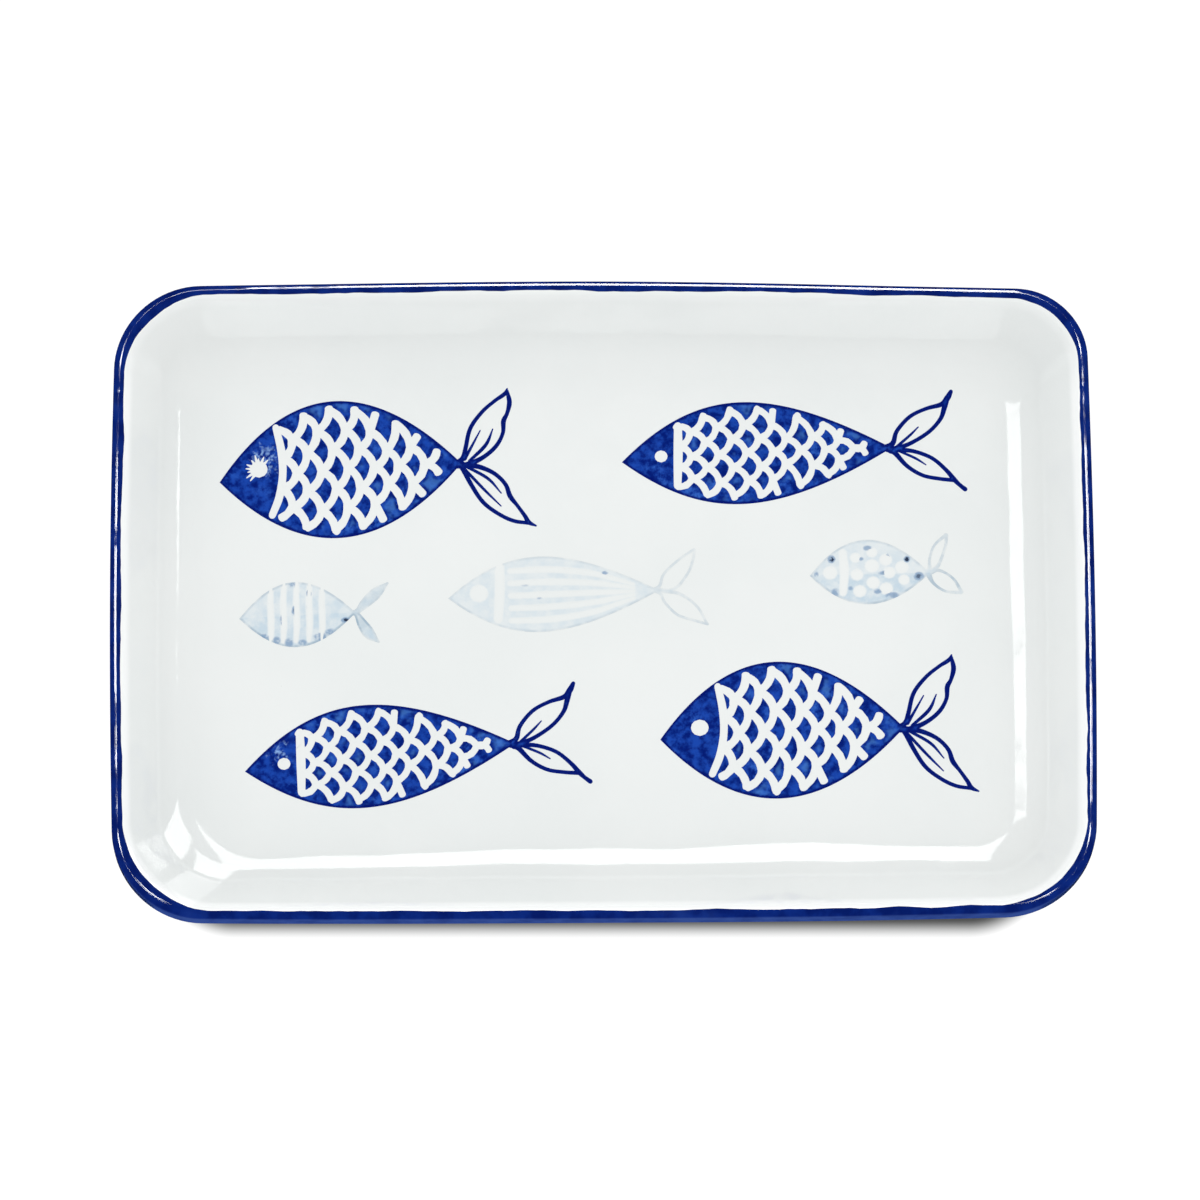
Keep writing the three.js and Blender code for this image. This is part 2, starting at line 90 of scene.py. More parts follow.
# Steps round a ring and along the section
LONG_STEPS = 160
SHORT_STEPS = 92
CORNER_STEPS = 20
FLOOR_RING = 3
FILLET_STEPS = 14
WALL_STEPS = 5
LIP_STEPS = 7
LINE_STEPS = 4
LIP_OUTER_STEPS = 8
LIP_FACE_STEPS = 5
TUCK_STEPS = 2
UNDER_STEPS = 6
OUTER_WALL_STEPS = 4

# How far the hand of the maker strays, how long each sway is, and the layer of noise that it reads
EDGE_SWAY, EDGE_SWAY_LENGTH, EDGE_LAYER = 1.3, 48, 0.3
LINE_SWAY, LINE_SWAY_LENGTH, LINE_LAYER = 0.42, 9, 4.7
LINE_NICK, LINE_NICK_LENGTH, NICK_LAYER = 0.16, 2.6, 8.1
FRONT_RIPPLE, FRONT_RIPPLE_LENGTH, RIPPLE_LAYER = 0.9, 18, 2.6

# How much broader the lip line is in places, and the share of its stray at the stations by its edges
LINE_LEFT_CORNER = 1.4
LINE_RIGHT_CORNER = 0.7
LINE_BACK = 0.5
LINE_LEFT = 0.75
LINE_RIGHT = 0.5
INNER_EDGE_SHARES = (1, 0.6, 0.25)
LOWER_EDGE_SHARE = 0.4

# Prints: how far the ink stands above the floor, how deep it sinks, and the step of its grid
INK_PROUD = 0.03
INK_SUNK = 0.17
INK_GRID = 0.5

# How far the edges moved outwards in the kiln: long ones from left to right, short ones from front to back
FRONT_EDGE_WARP = (0.5, 0, -0.7, -0.8, -1.9)
BACK_EDGE_WARP = (0.4, 0.6, 1.5, 0.2, -0.5)
LEFT_EDGE_WARP = (-0.9, 0.2, 0.1)
RIGHT_EDGE_WARP = (1, 0.4, -0.8)

# How far the faces waver in height, over which length, and how far the plate is lifted to clear the table
KILN_WAVER = 0.3
KILN_WAVER_LENGTH = 36
FOOT_LIFT = 0.12

# How far the floor's front edge gave way towards the lip, from left to right
FRONT_FLOOR_GIVE = (3.4, 2.3, 0, -0.6, -0.2)

# Radius of each corner of the lip and of the floor, by its side along x and along y
LIP_CORNERS = {(-1, 1): 20.5, (1, 1): 17, (-1, -1): 21.5, (1, -1): 21.8}
FLOOR_CORNERS = {(-1, 1): 9, (1, 1): 9, (-1, -1): 17, (1, -1): 9}

# Where painted light lies, in metres: a painted highlight on the glaze under the line, a painted reflection
# on the line's front face, and where the front of the line loses its gloss
LIP_HIGHLIGHT_HEIGHTS = (0.0203, 0.0222)
LIP_HIGHLIGHT_BACK = (0.068, 0.05)
FRONT_REFLECTION_Y = (-0.06, -0.074)
FRONT_REFLECTION_HEIGHTS = (0.02305, 0.0223)
FRONT_MATT = (-0.0755, -0.072)

# Table, in metres, with the half sides of the patch of painted shadow under the plate and the reach of its
# soft edge
TABLE_SIZE = 12
PAINTED_SHADOW_PATCH = (0.0895, 0.0575, 0)
PAINTED_SHADOW_EDGE = (0.0172, 0.0228)
PAPER_GLOW = 0.98

# Room light, and the camera: its lens and sensor in millimetres, its distance and aim in metres
ROOM_COLOUR = (0.985, 1, 0.997, 1)
ROOM_LIGHT = 1.08
LENS_LENGTH = 319.8
LENS_SENSOR = 36
LENS_DISTANCE = 2.6
LENS_RISE = math.radians(78)
LENS_AIM = Vector((-0.49, 0.5, 21.3)) * MM

Station = namedtuple("Station", "inset height sway slide slope", defaults=(0.0, 0.0, 0.0))


def select_only(piece):
    bpy.ops.object.select_all(action="DESELECT")
    piece.select_set(True)
    bpy.context.view_layer.objects.active = piece


def apply_modifier(piece, kind, **settings):
    select_only(piece)
    modifier = piece.modifiers.new(kind.lower(), kind)
    for name, value in settings.items():
        setattr(modifier, name, value)
    bpy.ops.object.modifier_apply(modifier=modifier.name)


def close_up(piece):
    """Merges coincident points and turns every face outwards."""
    select_only(piece)
    bpy.ops.object.mode_set(mode="EDIT")
    bpy.ops.mesh.select_all(action="SELECT")
    bpy.ops.mesh.remove_doubles(threshold=0.0005)
    bpy.ops.mesh.normals_make_consistent(inside=False)
    bpy.ops.object.mode_set(mode="OBJECT")


def remove(piece):
    data = piece.data
    bpy.data.objects.remove(piece)
    if isinstance(data, bpy.types.Mesh):
        bpy.data.meshes.remove(data)


# Section of the plate

def polar(inset, height, radius, angle):
    """A point of the section, as its distance in from the outer face and its height. Angles are measured from
    straight up, positive towards the middle of the plate."""
    return inset + radius * math.sin(angle), height + radius * math.cos(angle)


def section_arc(inset, height, radius, start, stop, steps):
    return [polar(inset, height, radius, start + (stop - start) * k / steps) for k in range(steps + 1)]


def section_run(start, stop, steps):
    return [
        (start[0] + (stop[0] - start[0]) * k / steps, start[1] + (stop[1] - start[1]) * k / steps)
        for k in range(1, steps)
    ]


LIP_EDGE = polar(LIP_OUTER_ROUND, PLATE_HEIGHT - LIP_INNER_ROUND, LIP_INNER_ROUND, WALL_SLOPE)
WALL_DROP = LIP_EDGE[1] - FILLET_Z + FLOOR_FILLET * math.cos(WALL_SLOPE)
WALL_RUN = LIP_EDGE[0] + WALL_DROP / math.tan(WALL_SLOPE) + FLOOR_FILLET * math.sin(WALL_SLOPE)
FOOT_INNER = FOOT_INSET + FOOT_WIDTH
LINE_EDGE = math.asin((LINE_REACH - LIP_OUTER_ROUND) / LIP_INNER_ROUND)


def well_section():
    fillet = section_arc(WALL_RUN, FILLET_Z, FLOOR_FILLET, math.pi, math.pi + WALL_SLOPE, FILLET_STEPS)
    lip_z = PLATE_HEIGHT - LIP_INNER_ROUND
    lip = section_arc(LIP_OUTER_ROUND, lip_z, LIP_INNER_ROUND, WALL_SLOPE, LINE_EDGE, LIP_STEPS)
    return fillet + section_run(fillet[-1], lip[0], WALL_STEPS) + lip


def under_lip(start, stop, steps):
    """The round under the lip, which the outer wall meets at the wall's thickness from the inner one."""
    wall_x = LIP_EDGE[0] - WALL_THICKNESS * math.sin(WALL_SLOPE)
    wall_z = LIP_EDGE[1] - WALL_THICKNESS * math.cos(WALL_SLOPE)
    lift = LIP_UNDER_ROUND - math.sin(WALL_SLOPE) * (LIP_UNDER_ROUND - wall_x)
    centre_z = wall_z + lift / math.cos(WALL_SLOPE)
    return section_arc(LIP_UNDER_ROUND, centre_z, LIP_UNDER_ROUND, start, stop, steps)


def line_section():
    lip_z = PLATE_HEIGHT - LIP_INNER_ROUND
    inner = section_arc(LIP_OUTER_ROUND, lip_z, LIP_INNER_ROUND, LINE_EDGE, 0, LINE_STEPS)
    round_z = PLATE_HEIGHT - LIP_OUTER_ROUND
    outer = section_arc(LIP_OUTER_ROUND, round_z, LIP_OUTER_ROUND, 0, -math.pi / 2, LIP_OUTER_STEPS)
    tuck = under_lip(-math.pi / 2, -math.pi / 2 - LINE_TUCK, TUCK_STEPS)
    return inner + outer[1:] + section_run(outer[-1], tuck[0], LIP_FACE_STEPS) + tuck


def outside_section():
    under = under_lip(-math.pi / 2 - LINE_TUCK, WALL_SLOPE - math.pi, UNDER_STEPS)
    belly_radius = FLOOR_FILLET + WALL_THICKNESS
    foot_angle = math.asin((WALL_RUN - FOOT_INSET) / belly_radius) - math.pi
    belly = section_arc(WALL_RUN, FILLET_Z, belly_radius, WALL_SLOPE - math.pi, foot_angle, FILLET_STEPS)
    wall = section_run(under[-1], belly[0], OUTER_WALL_STEPS)
    return under + wall + belly + [(FOOT_INSET, BARE_FOOT)]


def underside_section():
    return [(FOOT_INNER, BARE_FOOT), (FOOT_INNER, FOOT_HEIGHT)]


def foot_section():
    outer = FOOT_INSET + GLAZE_THICKNESS
    inner = FOOT_INNER - GLAZE_THICKNESS
    return [
        (outer, FOOT_CHAMFER), (outer + FOOT_CHAMFER, 0),
        (inner - FOOT_CHAMFER, 0), (inner, FOOT_CHAMFER),
    ]


def below(section, depth, first_normal=None, last_normal=None):
    """The same section at a depth under the surface, with mitred corners."""
    points = [Vector(point) for point in section]
    normals = []
    for before, after in zip(points, points[1:]):
        along = (after - before).normalized()
        normals.append(Vector((along.y, -along.x)))
    bed = []
    for k, point in enumerate(points):
        before = normals[k - 1] if k > 0 else (first_normal or normals[0])
        after = normals[k] if k < len(normals) else (last_normal or normals[-1])
        mitre = (before + after) / (1 + before.dot(after))
        bed.append(tuple(point - mitre * depth))
    return bed


# Rings: the plan of the plate at one station of its section

def corner_radius(reach, inset):
    """The radius of a corner goes from the lip's to the floor's, and dies out towards the middle line."""
    corner = 1 if reach.x > 0 else -1, 1 if reach.y > 0 else -1
    lip, floor = LIP_CORNERS[corner], FLOOR_CORNERS[corner]
    if inset < WALL_RUN:
        return lip - (lip - floor) * inset / WALL_RUN
    return floor * max(1 - (inset - WALL_RUN) / WALL_RUN, 0)


def eased(values, share):
    """A smooth course through evenly spaced values, at a share of its length."""
    place = max(0, min(1, share)) * (len(values) - 1)
    k = min(int(place), len(values) - 2)
    step = place - k
    return values[k] + (values[k + 1] - values[k]) * step * step * (3 - 2 * step)


def line_stray(x, y, reach, facing):
    """How far the painted edge of the lip line strays, with more in the corners, at the back and sides."""
    corner = 2 * abs(facing.x * facing.y)
    side = LINE_BACK * max(0, facing.y) + LINE_LEFT * max(0, -facing.x) + LINE_RIGHT * max(0, facing.x)
    broad = corner * (LINE_LEFT_CORNER if reach.x < 0 else LINE_RIGHT_CORNER) + side * (1 - corner)
    sway = LINE_SWAY * hand_sway(x, y, LINE_SWAY_LENGTH, LINE_LAYER)
    return broad + sway + LINE_NICK * hand_sway(x, y, LINE_NICK_LENGTH, NICK_LAYER)


def hand_sway(x, y, length, layer):
    """Smooth noise between about -1 and 1, with swings of a length in millimetres."""
    return noise.noise(Vector((x / length, y / length, layer)))


def ring_place(reach, facing, station):
    """Where a point of the ring lies at a station, with all that the hand of the maker adds."""
    radius = corner_radius(reach, station.inset)
    x = reach.x * (HALF_LENGTH - station.inset - radius) + facing.x * radius
    y = reach.y * (HALF_WIDTH - station.inset - radius) + facing.y * radius
    give = max(0, -facing.y) * eased(FRONT_FLOOR_GIVE, 0.5 + x / (2 * HALF_LENGTH))
    give += max(0, -facing.y) * FRONT_RIPPLE * hand_sway(x, y, FRONT_RIPPLE_LENGTH, RIPPLE_LAYER)
    drift = station.sway * (EDGE_SWAY * hand_sway(x, y, EDGE_SWAY_LENGTH, EDGE_LAYER) - give)
    slide = station.slide * line_stray(x, y, reach, facing)
    fall = slide * slide / (2 * LIP_INNER_ROUND)
    shift = drift + slide * math.cos(station.slope) - fall * math.sin(station.slope)
    x -= facing.x * shift
    y -= facing.y * shift
    bow_x = SHORT_EDGE_BOW * (1 - (y / HALF_WIDTH) ** 2)
    bow_y = LONG_EDGE_BOW * (1 - (x / HALF_LENGTH) ** 2)
    height = station.height - slide * math.sin(station.slope) - fall * math.cos(station.slope)
    return Vector((x * (1 + bow_x / HALF_LENGTH), y * (1 + bow_y / HALF_WIDTH), height))


def draw_ring(name):
    """The plan at the lip as a rounded rectangle with its sides cut into steps. Each point keeps its reach
    along the sides and the way that it faces."""
    bpy.ops.object.select_all(action="DESELECT")
    bpy.ops.mesh.primitive_plane_add(size=2)
    piece = bpy.context.object
    piece.name = name
    bpy.ops.object.mode_set(mode="EDIT")
    bpy.ops.mesh.select_mode(type="VERT")
    bpy.ops.mesh.select_all(action="SELECT")
    bpy.ops.transform.resize(value=(HALF_LENGTH, HALF_WIDTH, 1))
    bpy.ops.mesh.bevel(
        offset=LIP_CORNER_RADIUS, segments=CORNER_STEPS, affect="VERTICES", clamp_overlap=False)
    bpy.ops.mesh.delete(type="ONLY_FACE")
    for along, steps in ((0, LONG_STEPS), (1, SHORT_STEPS)):
        mesh = bmesh.from_edit_mesh(piece.data)
        for edge in mesh.edges:
            run = edge.verts[1].co - edge.verts[0].co
            edge.select_set(abs(run[along]) > LIP_CORNER_RADIUS)
        bmesh.update_edit_mesh(piece.data)
        bpy.ops.mesh.subdivide(number_cuts=steps - 1)
        bpy.ops.mesh.select_all(action="DESELECT")
    mesh = bmesh.from_edit_mesh(piece.data)
    reach = mesh.verts.layers.float_vector.new("reach")
    facing = mesh.verts.layers.float_vector.new("facing")
    straight = Vector((HALF_LENGTH - LIP_CORNER_RADIUS, HALF_WIDTH - LIP_CORNER_RADIUS))
    for point in mesh.verts:
        along = Vector([max(-1, min(1, point.co[k] / straight[k])) for k in (0, 1)])
        point[reach] = along.to_3d()
        spoke = point.co - Vector((along.x * straight.x, along.y * straight.y, 0))
        point[facing] = spoke.normalized()
    bmesh.update_edit_mesh(piece.data)
    bpy.ops.mesh.select_all(action="SELECT")
    return piece


def set_ring(piece, station):
    """Moves the selected ring to a station."""
    mesh = bmesh.from_edit_mesh(piece.data)
    reach = mesh.verts.layers.float_vector["reach"]
    facing = mesh.verts.layers.float_vector["facing"]
    for point in mesh.verts:
        if point.select:
            point.co = ring_place(point[reach], point[facing], station)
    bmesh.update_edit_mesh(piece.data)


def skin_rings(name, stations):
    """A closed skin: the ring is extruded through the stations, and coincident points are merged."""
    piece = draw_ring(name)
    set_ring(piece, stations[0])
    for station in stations[1:]:
        bpy.ops.mesh.extrude_edges_move()
        set_ring(piece, station)
    bpy.ops.object.mode_set(mode="OBJECT")
    close_up(piece)
    return piece


def floor_stations(edge, height):
    """Rings from the middle line of the plate out to the edge of the floor."""
    count = math.ceil((HALF_WIDTH - edge) / FLOOR_RING)
    stations = []
    for k in range(count):
        share = k / count
        stations.append(Station(HALF_WIDTH + (edge - HALF_WIDTH) * share, height, share ** 4))
    return stations


def swayed(section):
    """The sway of the hand is full at the floor's edge and dies out towards the lip."""
    return [Station(inset, height, min(1, max(0, inset / WALL_RUN)) ** 2) for inset, height in section]


UP = Vector((0, 1))
DOWN = Vector((0, -1))
well_face = well_section()
line_face = line_section()
outside_face = outside_section()
underside_face = underside_section()
upper_face = well_face + line_face[1:] + outside_face[1:]
upper_bed = below(upper_face, GLAZE_THICKNESS, UP)
WELL_COUNT = len(well_face)
LINE_COUNT = len(line_face)
well_bed = upper_bed[:WELL_COUNT]
line_bed = upper_bed[WELL_COUNT - 1:WELL_COUNT - 1 + LINE_COUNT]
outside_bed = upper_bed[-len(outside_face):]
underside_bed = below(underside_face, GLAZE_THICKNESS, None, DOWN)


def strayed(station, slide, slope):
    """A station that strays with the painted edge, by a share of it, along the surface."""
    return station._replace(slide=slide, slope=slope)


def painted(stations, inner_edge=None, lower_edge=None):
    """The stations of a coat, with those at a painted edge of the lip line let stray along the surface."""
    if inner_edge == -1:
        for k in range(LIP_STEPS):
            slope = LINE_EDGE + (WALL_SLOPE - LINE_EDGE) * k / LIP_STEPS
            stations[-1 - k] = strayed(stations[-1 - k], 1 - k / LIP_STEPS, slope)
    if inner_edge == 0:
        for k, share in enumerate(INNER_EDGE_SHARES):
            stations[k] = strayed(stations[k], share, LINE_EDGE * (1 - k / LINE_STEPS))
    if lower_edge is not None:
        stations[lower_edge] = strayed(stations[lower_edge], LOWER_EDGE_SHARE, math.pi / 2 - LINE_TUCK)
    return stations


def well_glaze():
    face = painted(swayed(well_face), inner_edge=-1)
    bed = painted(swayed(well_bed), inner_edge=-1)
    top = floor_stations(WALL_RUN, FLOOR_Z)
    under = floor_stations(WALL_RUN, FLOOR_Z - GLAZE_THICKNESS)
    return skin_rings("well_glaze_coat", top + face + bed[::-1] + under[::-1])


def lip_line():
    face = painted(swayed(line_face), inner_edge=0, lower_edge=-1)
    bed = painted(swayed(line_bed), inner_edge=0, lower_edge=-1)
    return skin_rings("lip_line_paint", face + bed[::-1] + face[:1])


def outer_glaze():
    face = painted(swayed(outside_face), lower_edge=0)
    bed = painted(swayed(outside_bed), lower_edge=0)
    return skin_rings("outer_glaze_coat", face + bed[::-1] + face[:1])


def underside_glaze():
    inner = floor_stations(FOOT_INNER, FOOT_HEIGHT)[::-1]
    inner_bed = floor_stations(FOOT_INNER + GLAZE_THICKNESS, FOOT_HEIGHT + GLAZE_THICKNESS)
    face = swayed(underside_face)
    bed = swayed(underside_bed)
    return skin_rings("underside_glaze_coat", inner[::-1] + face[::-1] + bed + inner_bed[::-1])


def clay_body():
    under = floor_stations(underside_bed[-1][0], underside_bed[-1][1])
    top = floor_stations(WALL_RUN, FLOOR_Z - GLAZE_THICKNESS)
    wall = swayed(upper_bed + foot_section() + underside_bed)
    return skin_rings("pressed_clay_body", top + wall + under[::-1])


# Prints: each stamp is drawn with its nose at (0, 0) and its body along +x

Body = namedtuple("Body", "length crown belly nose_reach tail_reach outline")
Net = namedtuple("Net", "start pitch_x pitch_y rows stroke bulge stray seed")

ROUND_BODY = Body(59.5, 18.1, 16.2, 18.5, 21, 0.75)
SLIM_BODY = Body(66.5, 13.4, 12.1, 19.5, 29.5, 0.7)
BANDED_BODY = Body(28.5, 8.4, 7.8, 9.5, 10.5, 0.7)
STRIPED_BODY = Body(51.8, 9.5, 9.3, 15, 24, 0.8)
SPOTTED_BODY = Body(29.4, 8.7, 7.5, 9, 10.5, 0.8)
ROUND_NET = Net(15.4, 3.2, 9.8, 4, 2.05, 0.8, 0.3, 5)
SLIM_NET = Net(13.9, 3.3, 7.4, 4, 1.72, 0.75, 0.28, 11)
CROWN_HANDLE = 4 / 3
TAIL_STROKE = 1.32
BRUSH_STEPS = 6
PALE_GRID = 0.3

# Net of scales: bulge of its ends, room round its knots and strokes in stroke widths, and how it is strewn
NET_END = 0.6
KNOT_ROOM = 0.75
SCALLOP_ROOM = 0.5
STUB_ROOM = 0.42
COLUMN_SLACK = 0.4
LAST_SLACK = 0.85
GILL_LEAN = 0.65
SCALLOP_STEPS = 6


def bezier(start, first, second, stop, share):
    rest = 1 - share
    return (
        start * rest ** 3 + first * (3 * rest * rest * share)
        + second * (3 * rest * share * share) + stop * share ** 3
    )


def body_edge(body, steps=160):
    """Points round a body's outline, from the nose along the belly to the tail and back over the crown."""
    nose, tail = Vector((0, 0)), Vector((body.length, 0))
    points = []
    for lift, ends in ((-body.belly, (nose, tail)), (body.crown, (tail, nose))):
        handles = [Vector((body.nose_reach, CROWN_HANDLE * lift)),
                   Vector((body.length - body.tail_reach, CROWN_HANDLE * lift))]
        if ends[0] is tail:
            handles.reverse()
        points += [bezier(ends[0], handles[0], handles[1], ends[1], k / steps) for k in range(steps)]
    return points


def tree_of(points):
    tree = kdtree.KDTree(len(points))
    for k, point in enumerate(points):
        tree.insert((point[0], point[1], 0), k)
    tree.balance()
    return tree


def inside(edge, x, y):
    """Whether a point lies within a closed outline."""
    within = False
    for a, b in zip(edge, edge[1:] + edge[:1]):
        if (a.y > y) != (b.y > y) and x < a.x + (b.x - a.x) * (y - a.y) / (b.y - a.y):
            within = not within
    return within


def rounded_ends(stroke, bulge):
    """A stroke of (x, y, width) points, given ends that bulge as far as a half circle or less."""
    ends = []
    for point, towards in ((stroke[0], stroke[1]), (stroke[-1], stroke[-2])):
        away = Vector((point[0] - towards[0], point[1] - towards[1])).normalized()
        cap = []
        for turn in (35, 62, 84):
            reach = bulge * point[2] / 2 * math.sin(math.radians(turn))
            width = point[2] * math.cos(math.radians(turn))
            cap.append((point[0] + away.x * reach, point[1] + away.y * reach, width))
        ends.append(cap)
    return ends[0][::-1] + list(stroke) + ends[1]


def draw_stroke(stroke, bulge=1.0):
    """A brush stroke of (x, y, width) points, as a round tube."""
    drawing = bpy.data.curves.new("stroke", "CURVE")
    drawing.dimensions = "3D"
    drawing.bevel_depth = 1
    drawing.bevel_resolution = 2
    drawing.use_fill_caps = True
    spline = drawing.splines.new("POLY")
    points = rounded_ends(stroke, bulge)
    spline.points.add(len(points) - 1)
    for point, (x, y, width) in zip(spline.points, points):
        point.co = (x, y, 0, 1)
        point.radius = width / 2
    piece = bpy.data.objects.new("stroke", drawing)
    bpy.context.collection.objects.link(piece)
    select_only(piece)
    bpy.ops.object.convert(target="MESH")
    close_up(piece)
    return piece


def body_block(body):
    """The outline of a body as a block that reaches through the sheet of ink."""
    bpy.ops.object.select_all(action="DESELECT")
    bpy.ops.curve.primitive_bezier_curve_add()
    piece = bpy.context.object
    outline = piece.data
    outline.dimensions = "2D"
    outline.fill_mode = "BOTH"
    outline.extrude = 1
    outline.resolution_u = 48
    spline = outline.splines[0]
    spline.use_cyclic_u = True
    nose, tail = spline.bezier_points
    for point in (nose, tail):
        point.handle_left_type = point.handle_right_type = "FREE"
    rear = body.length - body.tail_reach
    nose.co, tail.co = (0, 0, 0), (body.length, 0, 0)
    nose.handle_right = (body.nose_reach, -CROWN_HANDLE * body.belly, 0)
    tail.handle_left = (rear, -CROWN_HANDLE * body.belly, 0)
    tail.handle_right = (rear, CROWN_HANDLE * body.crown, 0)
    nose.handle_left = (body.nose_reach, CROWN_HANDLE * body.crown, 0)
    bpy.ops.object.convert(target="MESH")
    close_up(piece)
    return piece


def ink_sheet(name, low, high, grid):
    """A gridded sheet of ink that covers a stamp."""
    size = Vector(high) - Vector(low)
    middle = (Vector(high) + Vector(low)) / 2
    bpy.ops.object.select_all(action="DESELECT")
    bpy.ops.mesh.primitive_grid_add(
        x_subdivisions=math.ceil(size.x / grid), y_subdivisions=math.ceil(size.y / grid),
        size=1, location=(middle.x, middle.y, INK_PROUD))
    piece = bpy.context.object
    piece.name = name
    piece.scale = (size.x, size.y, 1)
    bpy.ops.object.transform_apply(location=True, rotation=True, scale=True)
    apply_modifier(piece, "SOLIDIFY", thickness=INK_PROUD + INK_SUNK, offset=-1)
    return piece


def cut(piece, tool, operation):
    apply_modifier(piece, "BOOLEAN", operation=operation, solver="MANIFOLD", object=tool)
    remove(tool)


def span_at(edge, x):
    """Lowest and highest point of an outline at one place along it."""
    heights = [a.y + (b.y - a.y) * (x - a.x) / (b.x - a.x)
               for a, b in zip(edge, edge[1:] + edge[:1]) if (a.x > x) != (b.x > x)]
    return min(heights), max(heights)


def net_knots(body, net, gill, stray):
    """Columns of knots behind the gill. Each column has one knot more than the last where there is room for
    it between belly and back, and else one knot less."""
    edge = body_edge(body)
    margin = body.outline + KNOT_ROOM * net.stroke
    columns = []
    count, space, last_tall = net.rows - 1, 0, 1
    while True:
        x = net.start + len(columns) * net.pitch_x
        low, high = span_at(edge, x)
        tall = high - low - 2 * margin
        if tall < COLUMN_SLACK * margin:
            return columns
        slack = LAST_SLACK if count == 1 else COLUMN_SLACK
        if not columns or (count - slack) * net.pitch_y <= tall:
            space = tall / count
            count += 1
        elif count > 1:
            space *= tall / last_tall
            count -= 1
        else:
            return columns
        last_tall = tall
        column = []
        for k in range(count):
            y = (low + high) / 2 + (k - (count - 1) / 2) * space
            gill_x = min(gill, key=lambda on_gill: abs(on_gill[1] - y))[0]
            lean = (gill_x - net.start) * GILL_LEAN ** len(columns)
            column.append(Vector((x + lean + stray.uniform(-net.stray, net.stray),
                                  y + stray.uniform(-net.stray, net.stray))))
        columns.append(column)


def scale_net(body, net, gill):
    """White strokes that leave the scales: scalloped lines between knots, with stubs at back and belly."""
    stray = random.Random(net.seed)
    edge = body_edge(body)
    near = tree_of(edge)
    columns = net_knots(body, net, gill, stray)
    strokes = []
    for left, right in zip(columns, columns[1:]):
        more = len(right) > len(left)
        for k, knot in enumerate(left):
            for n in (k, k + 1 if more else k - 1):
                if not 0 <= n < len(right):
                    continue
                along = right[n] - knot
                out = Vector((along.y, -along.x)).normalized() * math.copysign(net.bulge, along.y)
                scallop = []
                for step in range(SCALLOP_STEPS + 1):
                    share = step / SCALLOP_STEPS
                    point = knot + along * share + out * 4 * share * (1 - share)
                    room = near.find((point.x, point.y, 0))[2]
                    if room > body.outline + SCALLOP_ROOM * net.stroke and inside(edge, point.x, point.y):
                        scallop.append((point.x, point.y, net.stroke * stray.uniform(0.92, 1.08)))
                if len(scallop) > 2:
                    strokes.append(scallop)
        for knot in () if more else (left[0], left[-1]):
            away = Vector(near.find((knot.x, knot.y, 0))[0][:2]) - knot
            length = away.length - body.outline - STUB_ROOM * net.stroke
            if length > 0.3:
                stub = knot + away.normalized() * length + Vector((stray.uniform(-0.4, 0.6), 0))
                strokes.append([(*knot, net.stroke), (*stub, net.stroke)])
    return strokes


def brush(*points):
    """A smooth stroke through a few (x, y, width) points."""
    path = [Vector(point) for point in points]
    path = [2 * path[0] - path[1]] + path + [2 * path[-1] - path[-2]]
    stroke = []
    for before, start, stop, after in zip(path, path[1:], path[2:], path[3:]):
        lead, trail = (stop - before) / 6, (after - start) / 6
        for k in range(BRUSH_STEPS):
            stroke.append(tuple(bezier(start, start + lead, stop - trail, stop, k / BRUSH_STEPS)))
    return stroke + [tuple(path[-2])]


def dot(x, y, radius):
    """A round dot, as a very short stroke."""
    return [(x - radius / 20, y, 2 * radius), (x + radius / 20, y, 2 * radius)]


def tail_of(body, *strokes):
    """The brush strokes of a tail, with their points given from its root."""
    tail = []
    for stroke in strokes:
        tail.append(brush(*[(body.length + x, y, TAIL_STROKE * width) for x, y, width in stroke]))
    return tail


ROUND_TAIL = tail_of(
    ROUND_BODY,
    [(-1.6, -0.2, 1.2), (0.4, 1.2, 1.0), (1.3, 3.7, 0.85), (2.8, 8.5, 0.8), (5.9, 12.3, 0.75),
     (9.3, 14.9, 0.7), (11.8, 16.4, 0.8), (12.6, 17.7, 0.3)],
    [(12.5, 17.2, 0.6), (12.9, 14.3, 0.95), (12.1, 11.5, 0.75), (11.1, 9.7, 0.95), (10.7, 6.7, 0.75),
     (8.8, 3.6, 0.8), (5.5, 1.1, 0.85), (1.6, -0.4, 1.1), (-1, -0.6, 1.0)],
    [(0.9, 1.0, 0.7), (3.0, 4.3, 0.5), (5.2, 7.8, 0.25)],
    [(2.0, 0.4, 0.6), (6.3, 4.1, 0.7), (8.3, 7.9, 0.25)],
    [(-0.6, 0.2, 1.2), (0.5, -0.4, 1.1), (4.2, -1.2, 0.95), (7.9, -3.2, 0.8), (10.4, -6.1, 0.8),
     (11.3, -9.1, 0.95), (12.9, -11.6, 0.7), (14.6, -14.4, 0.8), (15.4, -16, 0.9), (17.1, -17, 0.35)],
    [(-0.6, -0.4, 1.2), (0.2, -1.3, 1.0), (2.1, -5.7, 0.85), (4.6, -10.1, 0.8), (8, -13.2, 0.75),
     (11.6, -15.3, 0.75), (15.4, -16.2, 0.7)],
    [(1.0, -0.8, 0.6), (6.2, -4.3, 0.6), (9.2, -8.2, 0.25)],
    [(0.6, -1.4, 0.6), (5.1, -7, 0.55), (8.9, -11.4, 0.25)],
)
